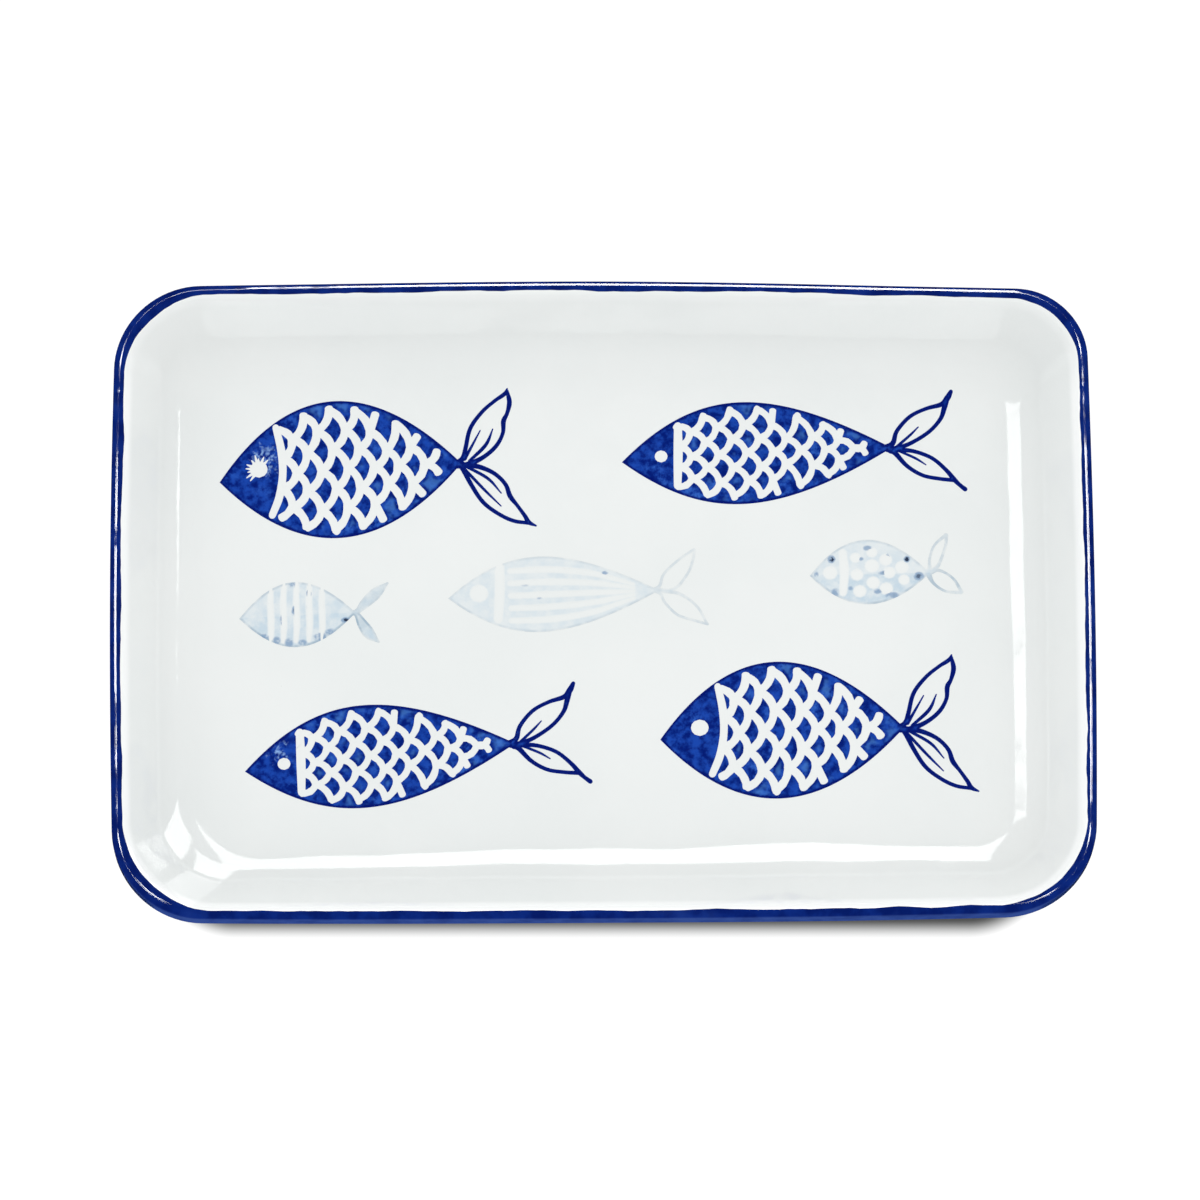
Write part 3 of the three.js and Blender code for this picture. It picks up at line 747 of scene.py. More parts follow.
SLIM_TAIL = tail_of(
    SLIM_BODY,
    [(-1.6, 0, 1.3), (0.4, 1.2, 1.0), (1.6, 4.2, 0.8), (5, 7.6, 0.75), (9.1, 9.4, 0.75), (13, 10.3, 0.95),
     (14.6, 11.8, 1.15), (15.6, 13.4, 0.8)],
    [(-1, -0.3, 1.2), (0.9, -0.2, 1.0), (4.7, 0.9, 0.8), (9.4, 3.5, 0.75), (12.5, 6.6, 0.8),
     (13.7, 9.4, 1.0), (14.5, 11.4, 0.9)],
    [(1.4, 0.3, 0.6), (4.8, 3, 0.5), (6.9, 4.9, 0.25)],
    [(-1, 0.1, 1.2), (0.9, -0.5, 1.0), (5.2, -1.1, 0.8), (9.7, -3.1, 0.75), (12.9, -6.2, 0.8),
     (14.8, -8.8, 0.95), (16, -10.2, 0.8), (17.3, -11.4, 0.9)],
    [(-0.4, -0.6, 1.2), (0.8, -1.4, 1.0), (3.5, -4.8, 0.8), (7.1, -7.3, 0.75), (11.1, -8.4, 0.75),
     (14.8, -9.0, 0.8)],
    [(1.6, -0.8, 0.5), (5.6, -2.9, 0.5), (8.1, -4.7, 0.25)],
)
ROUND_EYE = (9.8, 2.5, 2.05)
SLIM_EYE = (9.7, 0.9, 1.5)
ROUND_GILL = brush((14.7, 12.6, 1.7), (15.6, 7, 2.0), (15.6, 1.1, 1.9), (14.4, -4.6, 2.0), (12.3, -9.2, 1.8))
SLIM_GILL = brush((14.3, 8.2, 2.0), (13.9, 1, 2.3), (13.3, -6.6, 1.9))
BANDED_TAIL = tail_of(
    BANDED_BODY,
    [(-1.5, 0, 1.0), (0.4, 0.3, 1.0), (2.6, 2.3, 1.9), (5.4, 4.7, 2.1), (8.2, 6.9, 0.4)],
    [(-1.5, 0, 1.0), (0.2, -0.4, 1.0), (1.6, -3, 1.9), (3.2, -5.5, 2.1), (5.3, -7.6, 0.4)],
)
STRIPED_TAIL = tail_of(
    STRIPED_BODY,
    [(-1.5, 0, 0.9), (0.2, 1.2, 0.6), (1.2, 3.9, 0.5), (4.6, 7.1, 0.5), (8.9, 9.9, 0.5)],
    [(-1, 0, 0.9), (3.7, 0.2, 0.6), (7.1, 3.9, 0.5), (8.5, 7.1, 0.5), (9, 9.7, 0.5)],
    [(-1, 0, 0.9), (0.4, -1, 0.6), (1.2, -3, 0.5), (4.1, -6.2, 0.5), (7.8, -7.7, 0.5), (11.5, -8.9, 0.5)],
    [(0, 0, 0.9), (5, -1.1, 0.6), (9.1, -4.4, 0.5), (11.4, -8.8, 0.5)],
)
SPOTTED_TAIL = tail_of(
    SPOTTED_BODY,
    [(-1.5, 0, 1.2), (-0.1, 1, 0.8), (0.1, 3.7, 0.5), (1.4, 7, 0.5), (4.3, 9.5, 0.7)],
    [(-0.5, 0, 1.2), (2, 1.7, 0.7), (4, 6.5, 0.5), (4.4, 9.4, 0.7)],
    [(-0.5, 0, 1.2), (2.3, 0.6, 0.6), (5.6, -1.5, 0.5), (7.6, -5, 0.7)],
    [(-0.5, 0, 1.2), (0.8, -2.6, 0.6), (3.7, -4.7, 0.5), (7.5, -5.1, 0.7)],
)
STRIPED_EYE = (7.6, 0.9, 1.9)
SPOTTED_EYE = (5, 0.6, 1.4)
STRIPED_GILL = brush((12.9, 7.4, 1.8), (12.7, 1, 1.9), (12.1, -5.6, 1.7))
SPOTTED_GILL = brush((8.2, 5.6, 1.4), (8.5, 1, 1.7), (8, -4.4, 1.4))

# Flecks where the pale ink gathered and burned dark: place, half length along x and y, and depth
BANDED_FLECKS = [
    (17.3, 5.3, 0.45, 0.8, 1), (17.1, 2, 0.35, 0.7, 0.6), (13.5, 1.1, 0.5, 1.1, 0.65),
    (10.4, -0.9, 0.45, 1.1, 0.5), (26, -1.8, 0.9, 0.6, 0.85), (5.9, -4.9, 1, 0.7, 0.5),
    (8.9, -6, 0.8, 0.9, 0.55), (11.9, -6.6, 0.9, 1, 0.5), (15.2, -6.8, 0.9, 0.7, 0.5),
    (19.6, -5.6, 1.4, 0.9, 0.55), (22.2, -4.5, 1.2, 0.7, 0.5), (13.6, 7.7, 1, 0.6, 0.4),
]
SPOTTED_FLECKS = [
    (5.4, 4, 0.75, 0.75, 1), (23.9, 3.6, 0.6, 0.6, 1), (19.2, 4.2, 0.4, 0.8, 0.7), (14.4, 6.6, 1, 0.6, 0.5),
    (18.6, 0.3, 1.5, 0.45, 0.6), (15.8, 1.9, 0.45, 0.45, 0.6), (12.7, 3.9, 0.5, 0.4, 0.5),
    (6.1, -4.4, 0.9, 0.9, 0.5), (16.5, -4.3, 0.9, 0.6, 0.5), (20, -5.4, 1.4, 0.7, 0.55),
    (26.7, -0.8, 1, 0.9, 0.7), (1.6, 0.2, 0.5, 0.7, 0.45), (9.9, -3.4, 0.6, 0.5, 0.4),
]
STRIPED_FLECKS = [(38.6, 4.8, 0.7, 0.4, 0.5), (19, 2.5, 1, 0.3, 0.3), (22.5, -0.9, 0.8, 0.3, 0.3)]

# Tilt of each print in degrees, and how far it slipped along x and y
SLIPS = {
    "round_fish_back_left": (4.4, -0.7, 0.2),
    "slim_fish_back_right": (3.5, -0.5, -1.2),
    "slim_fish_front_left": (5.8, -1, 0.5),
    "round_fish_front_right": (2.8, 0, 0.4),
    "banded_fish_left": (3, -0.6, 0.1),
    "striped_fish_middle": (2.2, -0.4, -0.5),
    "spotted_fish_right": (1.5, 0.8, 0.8),
}
PALE_FISH = ("banded_fish_left", "striped_fish_middle", "spotted_fish_right")


def upright_bands(body, first, pitch, count, width):
    """White bands across a body, each leaning a little and swelling in its middle."""
    bands = []
    for k in range(count):
        x = first + k * pitch
        bands.append(brush((x + 0.5, body.crown, 0.7 * width), (x + 0.1, 0.4 * body.crown, width),
                           (x, -0.3 * body.belly, 1.1 * width), (x - 0.4, -0.8 * body.belly, 0.6 * width)))
    return bands


def lengthwise_stripes(body, first, pitch, count, width):
    """White stripes along a body, drawn together towards the tail."""
    stripes = []
    for k in range(count):
        y = (k - (count - 1) / 2) * pitch
        reach = body.length - first - 4
        points = [(0, 1, 0.8), (0.3, 1, 1), (0.6, 0.8, 0.85), (0.8, 0.5, 0.6), (0.93, 0.28, 0.3)]
        stripes.append(brush(*[
            (first + reach * along, y * lift, width * swell) for along, lift, swell in points]))
    return stripes


def staggered_spots(body, first, pitch_x, pitch_y, radius, seed):
    """White spots in staggered rows, clear of the outline."""
    stray = random.Random(seed)
    edge = body_edge(body)
    near = tree_of(edge)
    spots = []
    for column in range(math.ceil(body.length / pitch_x)):
        for row in range(-3, 4):
            x = first + column * pitch_x + stray.uniform(-0.5, 0.5)
            y = (row + column % 2 / 2) * pitch_y + stray.uniform(-0.5, 0.5)
            size = radius * stray.uniform(0.8, 1.2)
            if inside(edge, x, y) and near.find((x, y, 0))[2] > size + body.outline:
                spots.append(dot(x, y, size))
    return spots


def eye_rays(eye, count, seed):
    """Short white rays that taper away from an eye, over its top and towards the nose."""
    stray = random.Random(seed)
    x, y, radius = eye
    rays = []
    for k in range(count):
        turn = math.radians(35 + 205 * (k + stray.uniform(0.2, 0.8)) / count)
        way = Vector((math.cos(turn), math.sin(turn)))
        start = Vector((x, y)) + way * 0.8 * radius
        stop = Vector((x, y)) + way * (radius + stray.uniform(0.5, 1.7))
        rays.append([(start.x, start.y, 0.9), (stop.x, stop.y, 0.3)])
    return rays


def wash_at(point, wash):
    """How far the ink is washed out in streaks round a place, of a reach and a strength."""
    x, y, reach, strength = wash
    away = Vector((point.x - x, point.y - y))
    turn = math.atan2(away.y, away.x)
    streak = 0.5 + 0.5 * math.sin(13 * turn + 2 * math.sin(3 * turn))
    return max(0, 1 - away.length / reach) * strength * (0.6 + 0.4 * streak)


def fleck_at(point, flecks):
    """How dark the deepest fleck is at a point."""
    deepest = 0
    for x, y, half_x, half_y, depth in flecks:
        gap = math.hypot((point.x - x) / half_x, (point.y - y) / half_y)
        deepest = max(deepest, depth * max(0, min(1, 1.6 - gap)))
    return deepest


def mark_ink(piece, body, head=0.0, edge_ink=(0, 0), flecks=(), wash=(0, 0, 1, 0)):
    """Writes on each point its distance in millimetres from the ink's edge and from the figure's outline,
    whether it lies in the tail or behind the head, how dark the outline is on its side of the crown or the
    belly, how dark a fleck is there, and how far the ink is washed out there."""
    mesh = piece.data
    walls = set()
    for face in mesh.polygons:
        if abs(face.normal.z) < 0.5:
            walls.update(face.vertices)
    shore = tree_of([mesh.vertices[k].co for k in walls])
    outline = tree_of(body_edge(body))
    names = ("from_edge", "from_outline", "in_tail", "in_body", "edge_ink", "fleck", "wash")
    marks = {name: [] for name in names}
    for point in mesh.vertices:
        flat = (point.co.x, point.co.y, 0)
        from_edge = shore.find(flat)[2]
        in_tail = point.co.x > body.length - 1
        marks["from_edge"].append(from_edge)
        marks["from_outline"].append(from_edge if in_tail else outline.find(flat)[2])
        marks["in_tail"].append(float(in_tail))
        marks["in_body"].append(float(head < point.co.x < body.length))
        marks["edge_ink"].append(edge_ink[point.co.y < 0])
        marks["fleck"].append(fleck_at(point.co, flecks))
        marks["wash"].append(wash_at(point.co, wash))
    for name, values in marks.items():
        mesh.attributes.new(name, "FLOAT", "POINT").data.foreach_set("value", values)


def stamp(name, body, tail, white, net=(), grid=INK_GRID):
    """A fish of ink: the sheet is cut to the body and the tail, and the white strokes are cut out of it."""
    shape = body_block(body)
    for stroke in tail:
        cut(shape, draw_stroke(stroke), "UNION")
    reach = [Vector(corner) for corner in shape.bound_box]
    low = [min(corner[k] for corner in reach) - grid for k in (0, 1)]
    high = [max(corner[k] for corner in reach) + grid for k in (0, 1)]
    sheet = ink_sheet(name, low, high, grid)
    cut(sheet, shape, "INTERSECT")
    for stroke in white:
        cut(sheet, draw_stroke(stroke), "DIFFERENCE")
    if net:
        whites = draw_stroke(net[0], NET_END)
        for stroke in net[1:]:
            cut(whites, draw_stroke(stroke, NET_END), "UNION")
        cut(sheet, whites, "DIFFERENCE")
    return sheet


def copy_of(piece, name):
    select_only(piece)
    bpy.ops.object.duplicate()
    bpy.context.object.name = name
    return bpy.context.object


def lay(piece, node, tilt, slip_x, slip_y):
    """Turns a stamp about its nose and lays it where the fish's nose is on the floor, slipped a little."""
    nose = min(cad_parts[node].data.vertices, key=lambda point: point.co.x).co
    piece.rotation_euler.z = math.radians(tilt)
    piece.location = (nose.x / MM + slip_x, nose.y / MM + slip_y, FLOOR_Z)
    select_only(piece)
    bpy.ops.object.transform_apply(location=True, rotation=True, scale=True)


def fish():
    """All seven prints, each in its place, by the node that it replaces."""
    round_net = scale_net(ROUND_BODY, ROUND_NET, ROUND_GILL)
    slim_net = scale_net(SLIM_BODY, SLIM_NET, SLIM_GILL)
    round_white = [ROUND_GILL, dot(*ROUND_EYE)]
    round_stamp = stamp("round_fish_ink_front", ROUND_BODY, ROUND_TAIL, round_white, round_net)
    round_rayed = copy_of(round_stamp, "round_fish_ink_back")
    for ray in eye_rays(ROUND_EYE, 10, 3):
        cut(round_rayed, draw_stroke(ray), "DIFFERENCE")
    slim_white = [SLIM_GILL, dot(*SLIM_EYE)]
    slim_stamp = stamp("slim_fish_ink_front", SLIM_BODY, SLIM_TAIL, slim_white, slim_net)
    slim_back = copy_of(slim_stamp, "slim_fish_ink_back")
    bands = upright_bands(BANDED_BODY, 7.7, 3.15, 5, 1.0)
    banded = stamp("banded_fish_ink", BANDED_BODY, BANDED_TAIL, bands, (), PALE_GRID)
    stripes = lengthwise_stripes(STRIPED_BODY, 15.4, 3.1, 5, 1.1) + [STRIPED_GILL, dot(*STRIPED_EYE)]
    striped = stamp("striped_fish_ink", STRIPED_BODY, STRIPED_TAIL, stripes, (), PALE_GRID)
    spots = staggered_spots(SPOTTED_BODY, 11.6, 3.7, 3.9, 1.2, 8) + [SPOTTED_GILL, dot(*SPOTTED_EYE)]
    spotted = stamp("spotted_fish_ink", SPOTTED_BODY, SPOTTED_TAIL, spots, (), PALE_GRID)
    mark_ink(round_stamp, ROUND_BODY, ROUND_NET.start)
    mark_ink(round_rayed, ROUND_BODY, ROUND_NET.start, wash=(11.3, 4.6, 7, 1))
    mark_ink(slim_back, SLIM_BODY, SLIM_NET.start)
    mark_ink(slim_stamp, SLIM_BODY, SLIM_NET.start, wash=(8.2, 4.4, 7, 0.75))
    mark_ink(banded, BANDED_BODY, 0, (0.6, 1), BANDED_FLECKS)
    mark_ink(striped, STRIPED_BODY, 0, (0.35, 0.45), STRIPED_FLECKS)
    mark_ink(spotted, SPOTTED_BODY, 0, (0.5, 0.8), SPOTTED_FLECKS)
    prints = (round_rayed, slim_back, slim_stamp, round_stamp, banded, striped, spotted)
    for (node, slip), piece in zip(SLIPS.items(), prints):
        lay(piece, node, *slip)
    return dict(zip(SLIPS, prints))


# The plate as it came from the kiln, with edges that moved and faces that waver

def kiln_cage():
    """A cage whose points are moved as the plate warped, in millimetres."""
    bpy.ops.object.select_all(action="DESELECT")
    bpy.ops.object.add(type="LATTICE", location=(0, 0, PLATE_HEIGHT / 2))
    cage = bpy.context.object
    cage.scale = (PLATE_LENGTH, PLATE_WIDTH, PLATE_HEIGHT)
    cage.data.points_u, cage.data.points_v, cage.data.points_w = 5, 3, 2
    for k, point in enumerate(cage.data.points):
        along, across = k % 5, k // 5 % 3
        if along == 0:
            point.co_deform.x -= LEFT_EDGE_WARP[across] / PLATE_LENGTH
        if along == 4:
            point.co_deform.x += RIGHT_EDGE_WARP[across] / PLATE_LENGTH
        if across == 0:
            point.co_deform.y -= FRONT_EDGE_WARP[along] / PLATE_WIDTH
        if across == 2:
            point.co_deform.y += BACK_EDGE_WARP[along] / PLATE_WIDTH
    return cage


def fire(piece, cage, waver):
    """Warps a piece as the kiln did, and brings it to metres."""
    apply_modifier(piece, "LATTICE", object=cage)
    apply_modifier(
        piece, "DISPLACE", texture=waver, texture_coords="GLOBAL", direction="Z", strength=KILN_WAVER,
        mid_level=0.5)
    piece.scale = (MM, MM, MM)
    piece.location.z = FOOT_LIFT * MM
    select_only(piece)
    bpy.ops.object.transform_apply(location=True, rotation=True, scale=True)
    bpy.ops.object.shade_smooth_by_angle(angle=math.radians(40))


# Materials

def feed(tree, socket, value):
    """Gives a socket a value or the output of another node."""
    if isinstance(value, bpy.types.NodeSocket):
        tree.links.new(value, socket)
    else:
        socket.default_value = value


def add(tree, kind, settings=None, **inputs):
    """A shader node with its settings and inputs."""
    made = tree.nodes.new("ShaderNode" + kind)
    for name, value in (settings or {}).items():
        setattr(made, name, value)
    for name, value in inputs.items():
        feed(tree, made.inputs[name.replace("_", " ")], value)
    return made


def blend(tree, share, first, second):
    """A mix of two colours, by the share of the second."""
    made = add(tree, "Mix", {"data_type": "RGBA"})
    feed(tree, made.inputs[0], share)
    for socket, colour in ((made.inputs[6], first), (made.inputs[7], second)):
        feed(tree, socket, (*colour, 1) if isinstance(colour, tuple) else colour)
    return made.outputs[2]


def fade(tree, value, start, stop, low=0.0, high=1.0):
    """Goes smoothly from low to high as the value goes from start to stop."""
    made = add(
        tree, "MapRange", {"interpolation_type": "SMOOTHSTEP"},
        Value=value, From_Min=start, From_Max=stop, To_Min=low, To_Max=high)
    return made.outputs[0]


def figure(tree, way, first, second):
    made = add(tree, "Math", {"operation": way})
    for socket, value in zip(made.inputs, (first, second)):
        feed(tree, socket, value)
    return made.outputs[0]


def times(tree, first, second):
    return figure(tree, "MULTIPLY", first, second)


def mark(tree, name):
    return add(tree, "Attribute", {"attribute_name": name}).outputs["Fac"]


def cloud(tree, place, size, detail=2.0, roughness=0.5):
    """Soft noise whose patches are about as large as the size, in millimetres."""
    made = add(tree, "TexNoise", Vector=place, Scale=1 / (size * MM), Detail=detail, Roughness=roughness)
    return made.outputs[0]


def speckle(tree, place, spacing, radius, rarity):
    """Round specks of a radius in millimetres, in a few of the cells of a spacing."""
    cells = add(tree, "TexVoronoi", Vector=place, Scale=1 / (spacing * MM))
    kept = add(tree, "SeparateColor", Color=cells.outputs["Color"])
    rare = fade(tree, kept.outputs[0], rarity, rarity + 0.02)
    size = times(tree, kept.outputs[1], radius / spacing)
    spot = figure(tree, "SUBTRACT", size, cells.outputs["Distance"])
    return times(tree, fade(tree, spot, 0, 0.25 * radius / spacing), rare)


def start_material(name):
    made = bpy.data.materials.new(name)
    made.use_nodes = True
    tree = made.node_tree
    place = add(tree, "TexCoord").outputs["Object"]
    return made, tree, tree.nodes["Principled BSDF"], place


def finish_material(tree, shader, colour, roughness, height, strength, depth):
    tree.links.new(colour, shader.inputs["Base Color"])
    tree.links.new(roughness, shader.inputs["Roughness"])
    bump = add(tree, "Bump", Strength=strength, Distance=depth * MM, Height=height)
    tree.links.new(bump.outputs[0], shader.inputs["Normal"])


def glaze_colour(tree, place):
    tone = cloud(tree, place, 40, 3)
    colour = blend(tree, fade(tree, tone, 0.3, 0.7), (0.83, 0.847, 0.843), (0.856, 0.868, 0.863))
    specks = times(tree, speckle(tree, place, 11, 0.32, 0.72), 0.5)
    return blend(tree, specks, colour, (0.24, 0.26, 0.28))


def glaze_gloss(tree, place):
    return fade(tree, cloud(tree, place, 5, 3), 0.3, 0.7, 0.045, 0.085)


def glaze_height(tree, place, dents=0.0):
    """Fine ripples of the glaze, over the broader dents that pressing left."""
    fine = figure(tree, "ADD", cloud(tree, place, 9, 2), times(tree, cloud(tree, place, 2.2), 0.12))
    return figure(tree, "ADD", fine, times(tree, cloud(tree, place, 24, 1), dents))


def white_glaze():
    made, tree, shader, place = start_material("white_glaze")
    colour = glaze_colour(tree, place)
    spot = add(tree, "SeparateXYZ", Vector=place).outputs
    # Painted highlight: the glaze at the top of the wall, under the lip line, is painted near white, more
    # faintly at the back
    painted_lip_highlight = times(tree, fade(tree, spot["Z"], *LIP_HIGHLIGHT_HEIGHTS), fade(tree, spot["Y"], *LIP_HIGHLIGHT_BACK, 0.3, 1))
    colour = blend(tree, painted_lip_highlight, colour, (0.97, 0.975, 0.975))
    finish_material(tree, shader, colour, glaze_gloss(tree, place), glaze_height(tree, place, 5), 0.5, 0.12)
    return made


def lip_cobalt():
    made, tree, shader, place = start_material("lip_cobalt")
    wash = cloud(tree, place, 6, 4, 0.6)
    colour = blend(tree, fade(tree, wash, 0.35, 0.65), (0.002, 0.010, 0.115), (0.004, 0.021, 0.185))
    thin = fade(tree, cloud(tree, place, 14, 3, 0.55), 0.58, 0.74, 0, 0.2)
    colour = blend(tree, thin, colour, (0.03, 0.075, 0.32))
    spot = add(tree, "SeparateXYZ", Vector=place).outputs
    # Painted reflection: the front face of the lip line is painted a lighter, mottled blue, as if it mirrored
    # the pale table
    front = times(tree, fade(tree, spot["Y"], *FRONT_REFLECTION_Y), fade(tree, wash, 0.3, 0.7, 0.6, 1))
    face = times(tree, fade(tree, spot["Z"], *FRONT_REFLECTION_HEIGHTS), front)
    colour = blend(tree, face, colour, (0.032, 0.068, 0.265))
    roughness = fade(tree, cloud(tree, place, 4, 3), 0.3, 0.7, 0.03, 0.06)
    finish_material(tree, shader, colour, roughness, glaze_height(tree, place), 0.5, 0.06)
    gloss = fade(tree, spot["Y"], *FRONT_MATT, 0, 0.3)
    tree.links.new(gloss, shader.inputs["Specular IOR Level"])
    return made


def deep_ink():
    made, tree, shader, place = start_material("deep_fish_ink")
    mottle = cloud(tree, place, 2.2, 4, 0.62)
    patch = cloud(tree, place, 9, 3, 0.55)
    colour = blend(tree, fade(tree, mottle, 0.35, 0.65), (0.0014, 0.012, 0.175), (0.011, 0.062, 0.41))
    light = times(tree, fade(tree, patch, 0.5, 0.7), fade(tree, mottle, 0.45, 0.7))
    colour = blend(tree, times(tree, light, 0.7), colour, (0.05, 0.17, 0.6))
    heart = times(tree, fade(tree, mark(tree, "from_edge"), 0.4, 1.2), mark(tree, "in_body"))
    pooled = times(tree, heart, fade(tree, cloud(tree, place, 7, 3, 0.6), 0.5, 0.62, 0, 0.5))
    colour = blend(tree, pooled, colour, (0.07, 0.22, 0.62))
    streak = figure(tree, "ADD", mark(tree, "wash"), times(tree, cloud(tree, place, 1.3, 3, 0.6), 1.6))
    thin = times(tree, fade(tree, streak, 1.2, 1.75), fade(tree, mark(tree, "from_outline"), 0.4, 1.4))
    colour = blend(tree, thin, colour, (0.26, 0.43, 0.78))
    ragged = figure(tree, "ADD", mark(tree, "from_outline"), times(tree, mottle, 0.8))
    colour = blend(tree, fade(tree, ragged, 1.3, 0.75), colour, (0.0015, 0.008, 0.15))
    rim = fade(tree, mark(tree, "from_edge"), 0.22, 0.0, 0, 0.35)
    colour = blend(tree, rim, colour, (0.015, 0.06, 0.40))
    finish_material(tree, shader, colour, glaze_gloss(tree, place), glaze_height(tree, place), 0.5, 0.12)
    return made


def pale_ink():
    made, tree, shader, place = start_material("pale_fish_ink")
    mottle = cloud(tree, place, 3, 4, 0.6)
    soft = fade(tree, mark(tree, "from_edge"), 0, 0.6)
    load = fade(tree, mark(tree, "edge_ink"), 0.4, 0.8, 0.75, 1.4)
    depth = times(tree, fade(tree, mottle, 0.3, 0.7, 0.25, 0.65), times(tree, soft, load))
    colour = blend(tree, depth, glaze_colour(tree, place), (0.54, 0.66, 0.76))
    broken = fade(tree, cloud(tree, place, 4, 3, 0.6), 0.35, 0.65, 0.25, 1)
    drawn = times(tree, fade(tree, mark(tree, "from_outline"), 0.75, 0.25), broken)
    line = times(tree, drawn, mark(tree, "edge_ink"))
    tail = times(tree, mark(tree, "in_tail"), times(tree, broken, 0.35))
    colour = blend(tree, figure(tree, "MAXIMUM", line, tail), colour, (0.37, 0.48, 0.58))
    burnt = fade(tree, cloud(tree, place, 1.1, 3, 0.6), 0.3, 0.6, 0.45, 1.15)
    ragged = times(tree, mark(tree, "fleck"), burnt)
    colour = blend(tree, fade(tree, ragged, 0.05, 0.5, 0, 0.8), colour, (0.22, 0.34, 0.52))
    colour = blend(tree, fade(tree, ragged, 0.55, 0.95), colour, (0.03, 0.045, 0.09))
    finish_material(tree, shader, colour, glaze_gloss(tree, place), glaze_height(tree, place), 0.5, 0.12)
    return made


def foot_clay():
    made, tree, shader, place = start_material("foot_clay")
    tone = cloud(tree, place, 6, 5, 0.65)
    colour = blend(tree, fade(tree, tone, 0.3, 0.7), (0.62, 0.55, 0.45), (0.74, 0.68, 0.58))
    colour = blend(tree, speckle(tree, place, 2.4, 0.4, 0.6), colour, (0.25, 0.18, 0.12))
    roughness = fade(tree, cloud(tree, place, 1.2, 3), 0.3, 0.7, 0.78, 0.95)
    finish_material(tree, shader, colour, roughness, cloud(tree, place, 0.5, 4, 0.7), 0.6, 0.15)
    return made


def table_paper():
    """Paper that glows all over as if lit, apart from a soft edged patch under the plate where the glow is
    cut away as a painted shadow over the paper's dark colour.
    """
    made, tree, shader, place = start_material("pale_table")
    colour = blend(tree, cloud(tree, place, 400), (0.1, 0.1, 0.1), (0.12, 0.12, 0.12))
    roughness = fade(tree, cloud(tree, place, 60), 0, 1, 0.8, 0.9)
    finish_material(tree, shader, colour, roughness, cloud(tree, place, 3), 0.05, 0.05)
    # Painted shadow: the glow is cut away in a soft edged patch under the plate, so the dark paper shows
    # there
    quarter = add(tree, "VectorMath", {"operation": "ABSOLUTE"}, Vector=place)
    beyond = add(tree, "VectorMath", {"operation": "SUBTRACT"}, Vector=quarter.outputs[0])
    beyond.inputs[1].default_value = PAINTED_SHADOW_PATCH
    clear = add(tree, "VectorMath", {"operation": "MAXIMUM"}, Vector=beyond.outputs[0])
    away = add(tree, "VectorMath", {"operation": "LENGTH"}, Vector=clear.outputs[0])
    glow_with_painted_shadow = fade(tree, away.outputs["Value"], *PAINTED_SHADOW_EDGE, 0, PAPER_GLOW)
    tree.links.new(glow_with_painted_shadow, shader.inputs["Emission Strength"])
    shader.inputs["Emission Color"].default_value = (1, 1, 1, 1)
    shader.inputs["Specular IOR Level"].default_value = 0.0
    return made


# The plate, put together

clay, white, cobalt = foot_clay(), white_glaze(), lip_cobalt()
deep, pale = deep_ink(), pale_ink()
pieces = {
    "clay_body": (clay_body(), clay, "bare_clay"),
    "well_glaze": (well_glaze(), white, "white_glaze"),
    "outer_glaze": (outer_glaze(), white, "white_glaze"),
    "underside_glaze": (underside_glaze(), white, "white_glaze"),
    "rim_band": (lip_line(), cobalt, "cobalt_line"),
}
for node, piece in fish().items():
    pieces[node] = (piece, pale, "pale_print") if node in PALE_FISH else (piece, deep, "deep_print")
cage = kiln_cage()
waver = bpy.data.textures.new("kiln_waver", "CLOUDS")
waver.noise_scale = KILN_WAVER_LENGTH
for node, (piece, look, slot) in pieces.items():
    fire(piece, cage, waver)
    piece.data.materials.clear()
    piece.data.materials.append(look)
    for layer in ("reach", "facing"):
        if layer in piece.data.attributes:
            piece.data.attributes.remove(piece.data.attributes[layer])
    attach(piece, "root")
    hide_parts(node)
remove(cage)

# The table, the light and the camera

bpy.ops.object.select_all(action="DESELECT")
bpy.ops.mesh.primitive_plane_add(size=TABLE_SIZE, location=(0, 0, 0))
table = bpy.context.object
table.name = "pale_table"
table.data.materials.append(table_paper())
table.visible_glossy = False


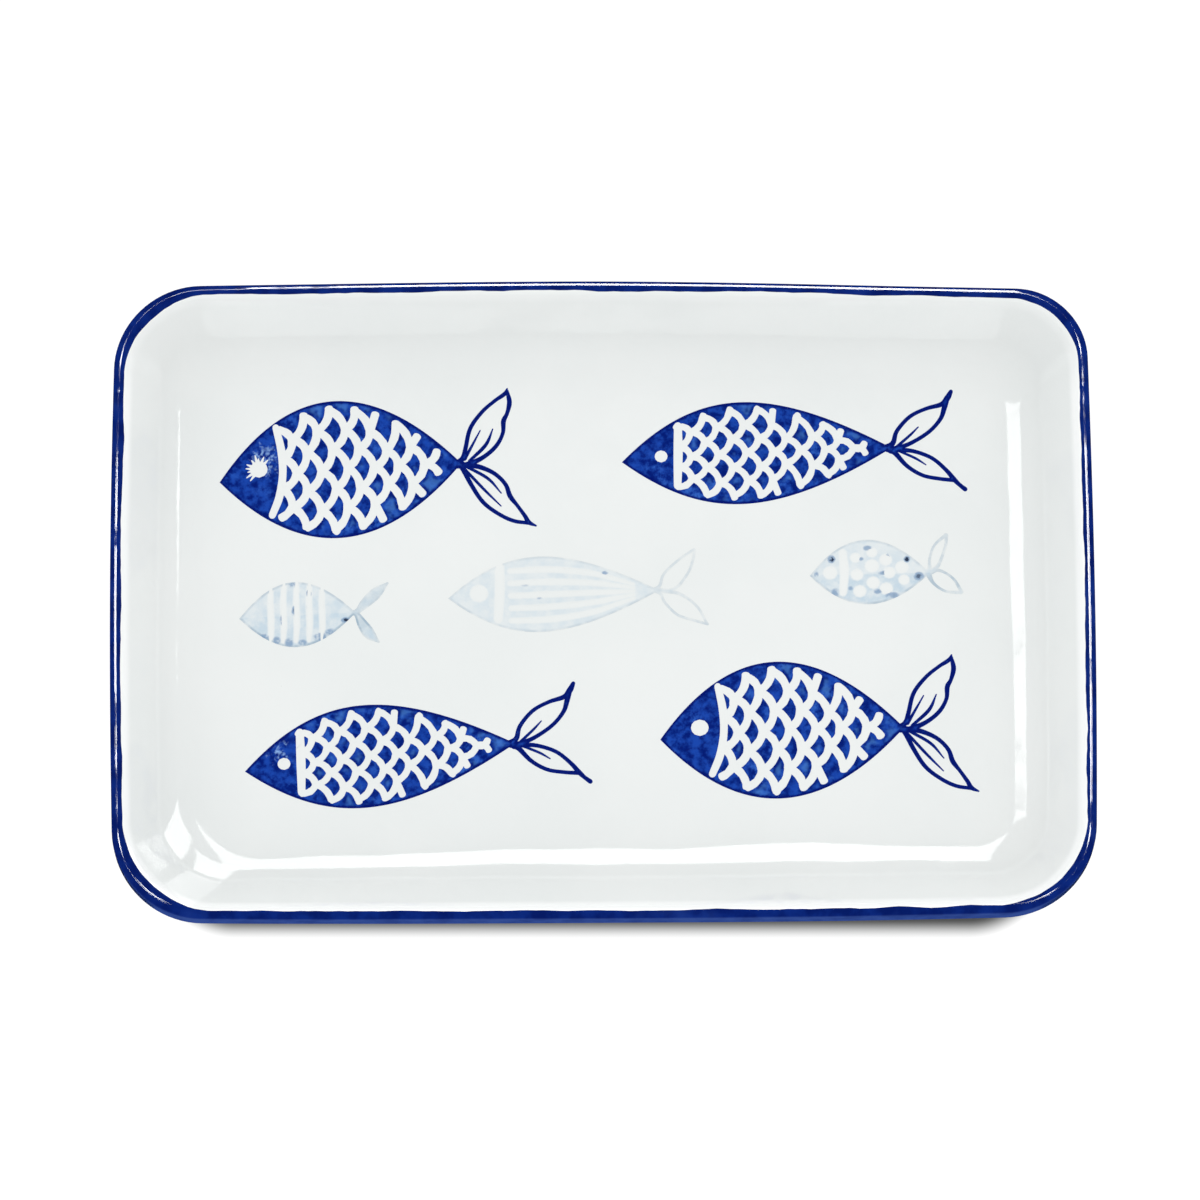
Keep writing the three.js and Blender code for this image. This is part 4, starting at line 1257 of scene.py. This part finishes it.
def panel(name, start, stop, width, brightness, only):
    """A soft panel between two ends, in metres, that faces the plate and shows in only one piece of it."""
    lamp = bpy.data.lights.new(name, "AREA")
    lamp.shape = "RECTANGLE"
    start, stop = Vector(start), Vector(stop)
    length = (stop - start).length
    lamp.size, lamp.size_y = width, length
    lamp.energy = brightness * math.pi * width * length
    holder = bpy.data.objects.new(name, lamp)
    bpy.context.collection.objects.link(holder)
    middle = (start + stop) / 2
    along = (stop - start).normalized()
    away = (middle - along * middle.dot(along)).normalized()
    holder.matrix_world = Matrix((along.cross(away), along, away)).transposed().to_4x4()
    holder.location = middle
    holder.visible_camera = False
    holder.visible_diffuse = False
    lit = bpy.data.collections.new(name + "_lights")
    lit.objects.link(only)
    holder.light_linking.receiver_collection = lit


def towards(turn, rise, distance=3.2):
    """A place in metres at a turn from +x towards +y and a rise above the table, both in degrees."""
    turn, rise = math.radians(turn), math.radians(rise)
    level = Vector((math.cos(turn), math.sin(turn), 0)) * math.cos(rise)
    return (level + Vector((0, 0, math.sin(rise)))) * distance


well, line = pieces["well_glaze"][0], pieces["rim_band"][0]
panel("back_window", (0.08, 0.9, 3.07), (0.08, 2.55, 1.93), 0.84, 5, well)
panel("back_right_window", towards(70, 46), towards(73, 4), 1.2, 5, well)
panel("right_window", towards(34, 52), towards(42, 5), 1.2, 5, well)
panel("left_window", (-0.46, 0.665, 3.09), (-1.8, 0.665, 2.57), 0.24, 5, well)
panel("left_glint", (-0.66, 0.655, 3.06), (-0.16, 0.655, 3.12), 0.15, 55, line)
panel("right_glint", (0.66, 0.655, 3.06), (0.16, 0.655, 3.12), 0.15, 55, line)
panel("back_glint", (0.08, 1.0, 3.04), (0.08, 2.55, 1.93), 0.5, 55, line)
world = bpy.data.worlds.new("soft_room")
world.use_nodes = True
sky = world.node_tree.nodes["Background"].inputs
sky["Color"].default_value = ROOM_COLOUR
sky["Strength"].default_value = ROOM_LIGHT
world.cycles_visibility.glossy = False
bpy.context.scene.world = world
bpy.context.scene.view_settings.view_transform = "Standard"

lens = bpy.data.cameras.new("photo_lens")
lens.lens = LENS_LENGTH
lens.sensor_width = LENS_SENSOR
camera = bpy.data.objects.new("photo_camera", lens)
bpy.context.collection.objects.link(camera)
back = Vector((0, -math.cos(LENS_RISE), math.sin(LENS_RISE)))
camera.location = LENS_AIM + back * LENS_DISTANCE
camera.rotation_euler = back.to_track_quat("Z", "Y").to_euler()
bpy.context.scene.camera = camera
